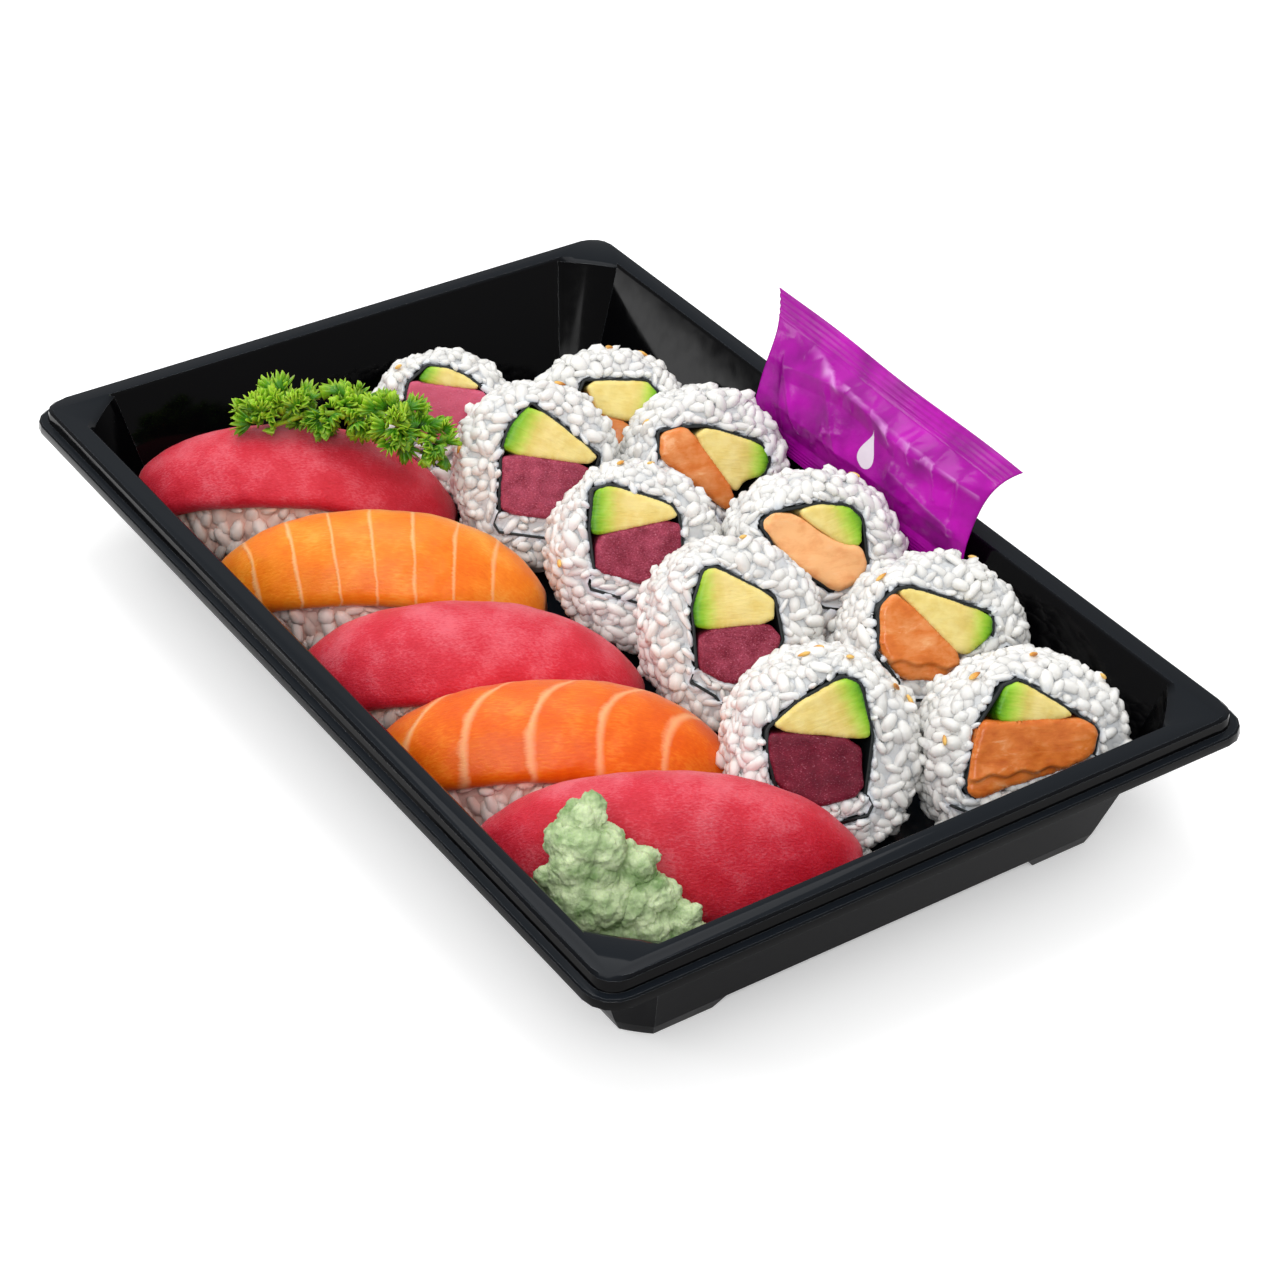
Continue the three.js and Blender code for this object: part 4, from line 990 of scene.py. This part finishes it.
# ---------------------------------------------------------------- parsley
# A sprig of curly parsley laid over the last nigiri: a bent green stem with tight heads of
# small frilled leaves.
SPRIG_PATH = [(-42, 91, 36), (-40, 90, 40), (-33, 86, 43), (-24, 77, 45), (-18, 68, 45),
              (-12, 58, 43)]
HEADS = [
    # place, turn and pitch of its middle leaf, size
    (-40.9, 92.5, 40.4, 155, 62, 9.5), (-39, 92, 41.6, 60, 58, 9.5), (-36, 90, 42.6, 35, 30, 9),
    (-32, 85.2, 43.2, 95, 16, 9), (-28.5, 82, 44.2, -118, 4, 8.5), (-25, 78, 44.9, 60, 22, 9.5),
    (-22, 74.2, 45.1, -128, -6, 9), (-19, 69.6, 45.1, 54, 24, 9.5), (-17, 66, 44.8, -116, -12, 9),
    (-14, 61.4, 43.9, 34, 14, 9), (-12.8, 59.4, 43.3, -92, -16, 9),
]
LEAVES_A_HEAD = 14
LOBES, LEAF_ANGLE = 7, 64
RINGS, RAYS = 5, 43
LEAF_THICK, STEM_ROUND = 0.16 * MM, 0.75 * MM


def frill(size, rng):
    """Points of one leaf on a grid of rings and rays, its foot at the origin along +X."""
    rings, rays = np.meshgrid(np.linspace(0.05, 1, RINGS), np.linspace(-1, 1, RAYS),
                              indexing="ij")
    angle = rays * math.radians(LEAF_ANGLE)
    notch = np.abs((rays + 1) / 2 * LOBES % 1 - 0.5) * 2
    reach = rings * (1 - 0.42 * notch * ease((rings - 0.35) / 0.5) - 0.2 * rays ** 2)
    curl = 0.16 * rings ** 2 * np.sin(5.5 * math.pi * rays + rng.uniform(0, 6))
    cup = 0.35 * rings ** 2 * (0.6 + np.abs(rays))
    return size * np.stack([reach * np.cos(angle), reach * np.sin(angle), curl + cup], 2)


# Fresh parsley leaf: bright yellow-green and waxy, light shining through, with painted light,
# brighter towards the leaf tips and higher up, and painted shade, darker low down.
parsley_leaf, tree, shader = new_material(
    "fresh parsley leaf", Roughness=0.4, IOR=1.45, Subsurface_Weight=0.35,
    Subsurface_Radius=(0.5, 1.0, 0.2), Subsurface_Scale=1.0 * MM)
mottle = noise(tree, add(tree, "TexCoord").outputs["Object"], 600, 2)
mixed = calc(tree, "MULTIPLY_ADD", mottle, 0.35, read(tree, "tone"))
colour_from(tree, shader, ramp(tree, mixed, (0, "#123e05"), (0.5, "#488a0f"), (1, "#a9cf30")))

rng = np.random.default_rng(7)
points, faces, tones = [], [], []
for x, y, z, turn, pitch, size in HEADS:
    a, e = math.radians(turn), math.radians(pitch)
    axis = np.array((math.cos(a) * math.cos(e), math.sin(a) * math.cos(e), math.sin(e)))
    for _ in range(LEAVES_A_HEAD):
        way = unit((axis + 0.75 * rng.normal(size=3) * (1, 1, 0.8))[None])[0]
        foot = np.array((x, y, z)) + way * size * rng.uniform(0.15, 0.62)
        wide = unit(np.cross(way, rng.normal(size=3))[None])[0]
        grid = frill(size * rng.uniform(0.42, 0.62), rng)
        placed = grid @ np.stack([way, wide, np.cross(way, wide)]) + foot
        start = len(points)
        points += list(placed.reshape(-1, 3) * MM)
        # Painted light and shade: each leaf is painted lighter towards its tip and higher in its
        # head, darker low down.
        low = np.clip((placed[:, :, 2] - z) / size, 0, 1)
        painted_tip_light = 0.6 * np.linspace(0, 1, RINGS)[:, None] ** 1.5
        tones += list((painted_tip_light + 0.25 * low + rng.normal(0, 0.08)).ravel())
        first = [start + ring * RAYS + k for ring in range(RINGS - 1) for k in range(RAYS - 1)]
        faces += [[k, k + 1, k + 1 + RAYS, k + RAYS] for k in first]
mesh = bpy.data.meshes.new("parsley_leaves")
mesh.from_pydata(points, [], faces)
note(mesh, "tone", np.array(tones))
leaves = new_piece("parsley_leaves", mesh)
work(leaves, "SOLIDIFY", thickness=LEAF_THICK, offset=0)
pick(leaves)
bpy.ops.object.shade_smooth()
settle(leaves, parsley_leaf, "parsley", "parsley_sprig")

curve = bpy.data.curves.new("parsley_stem", "CURVE")
curve.dimensions = "3D"
curve.bevel_depth = STEM_ROUND
curve.use_fill_caps = True
spline = curve.splines.new("POLY")
spline.points.add(len(SPRIG_PATH) - 1)
for point, place in zip(spline.points, SPRIG_PATH):
    point.co = (*(Vector(place) * MM), 1)
stem = new_piece("parsley_stem", curve)
pick(stem)
bpy.ops.object.convert(target="MESH")
note(stem.data, "tone", np.full(len(stem.data.vertices), 0.75))
bpy.ops.object.shade_smooth()
stem.data.materials.append(parsley_leaf)
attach(stem, "root")

bpy.context.view_layer.update()
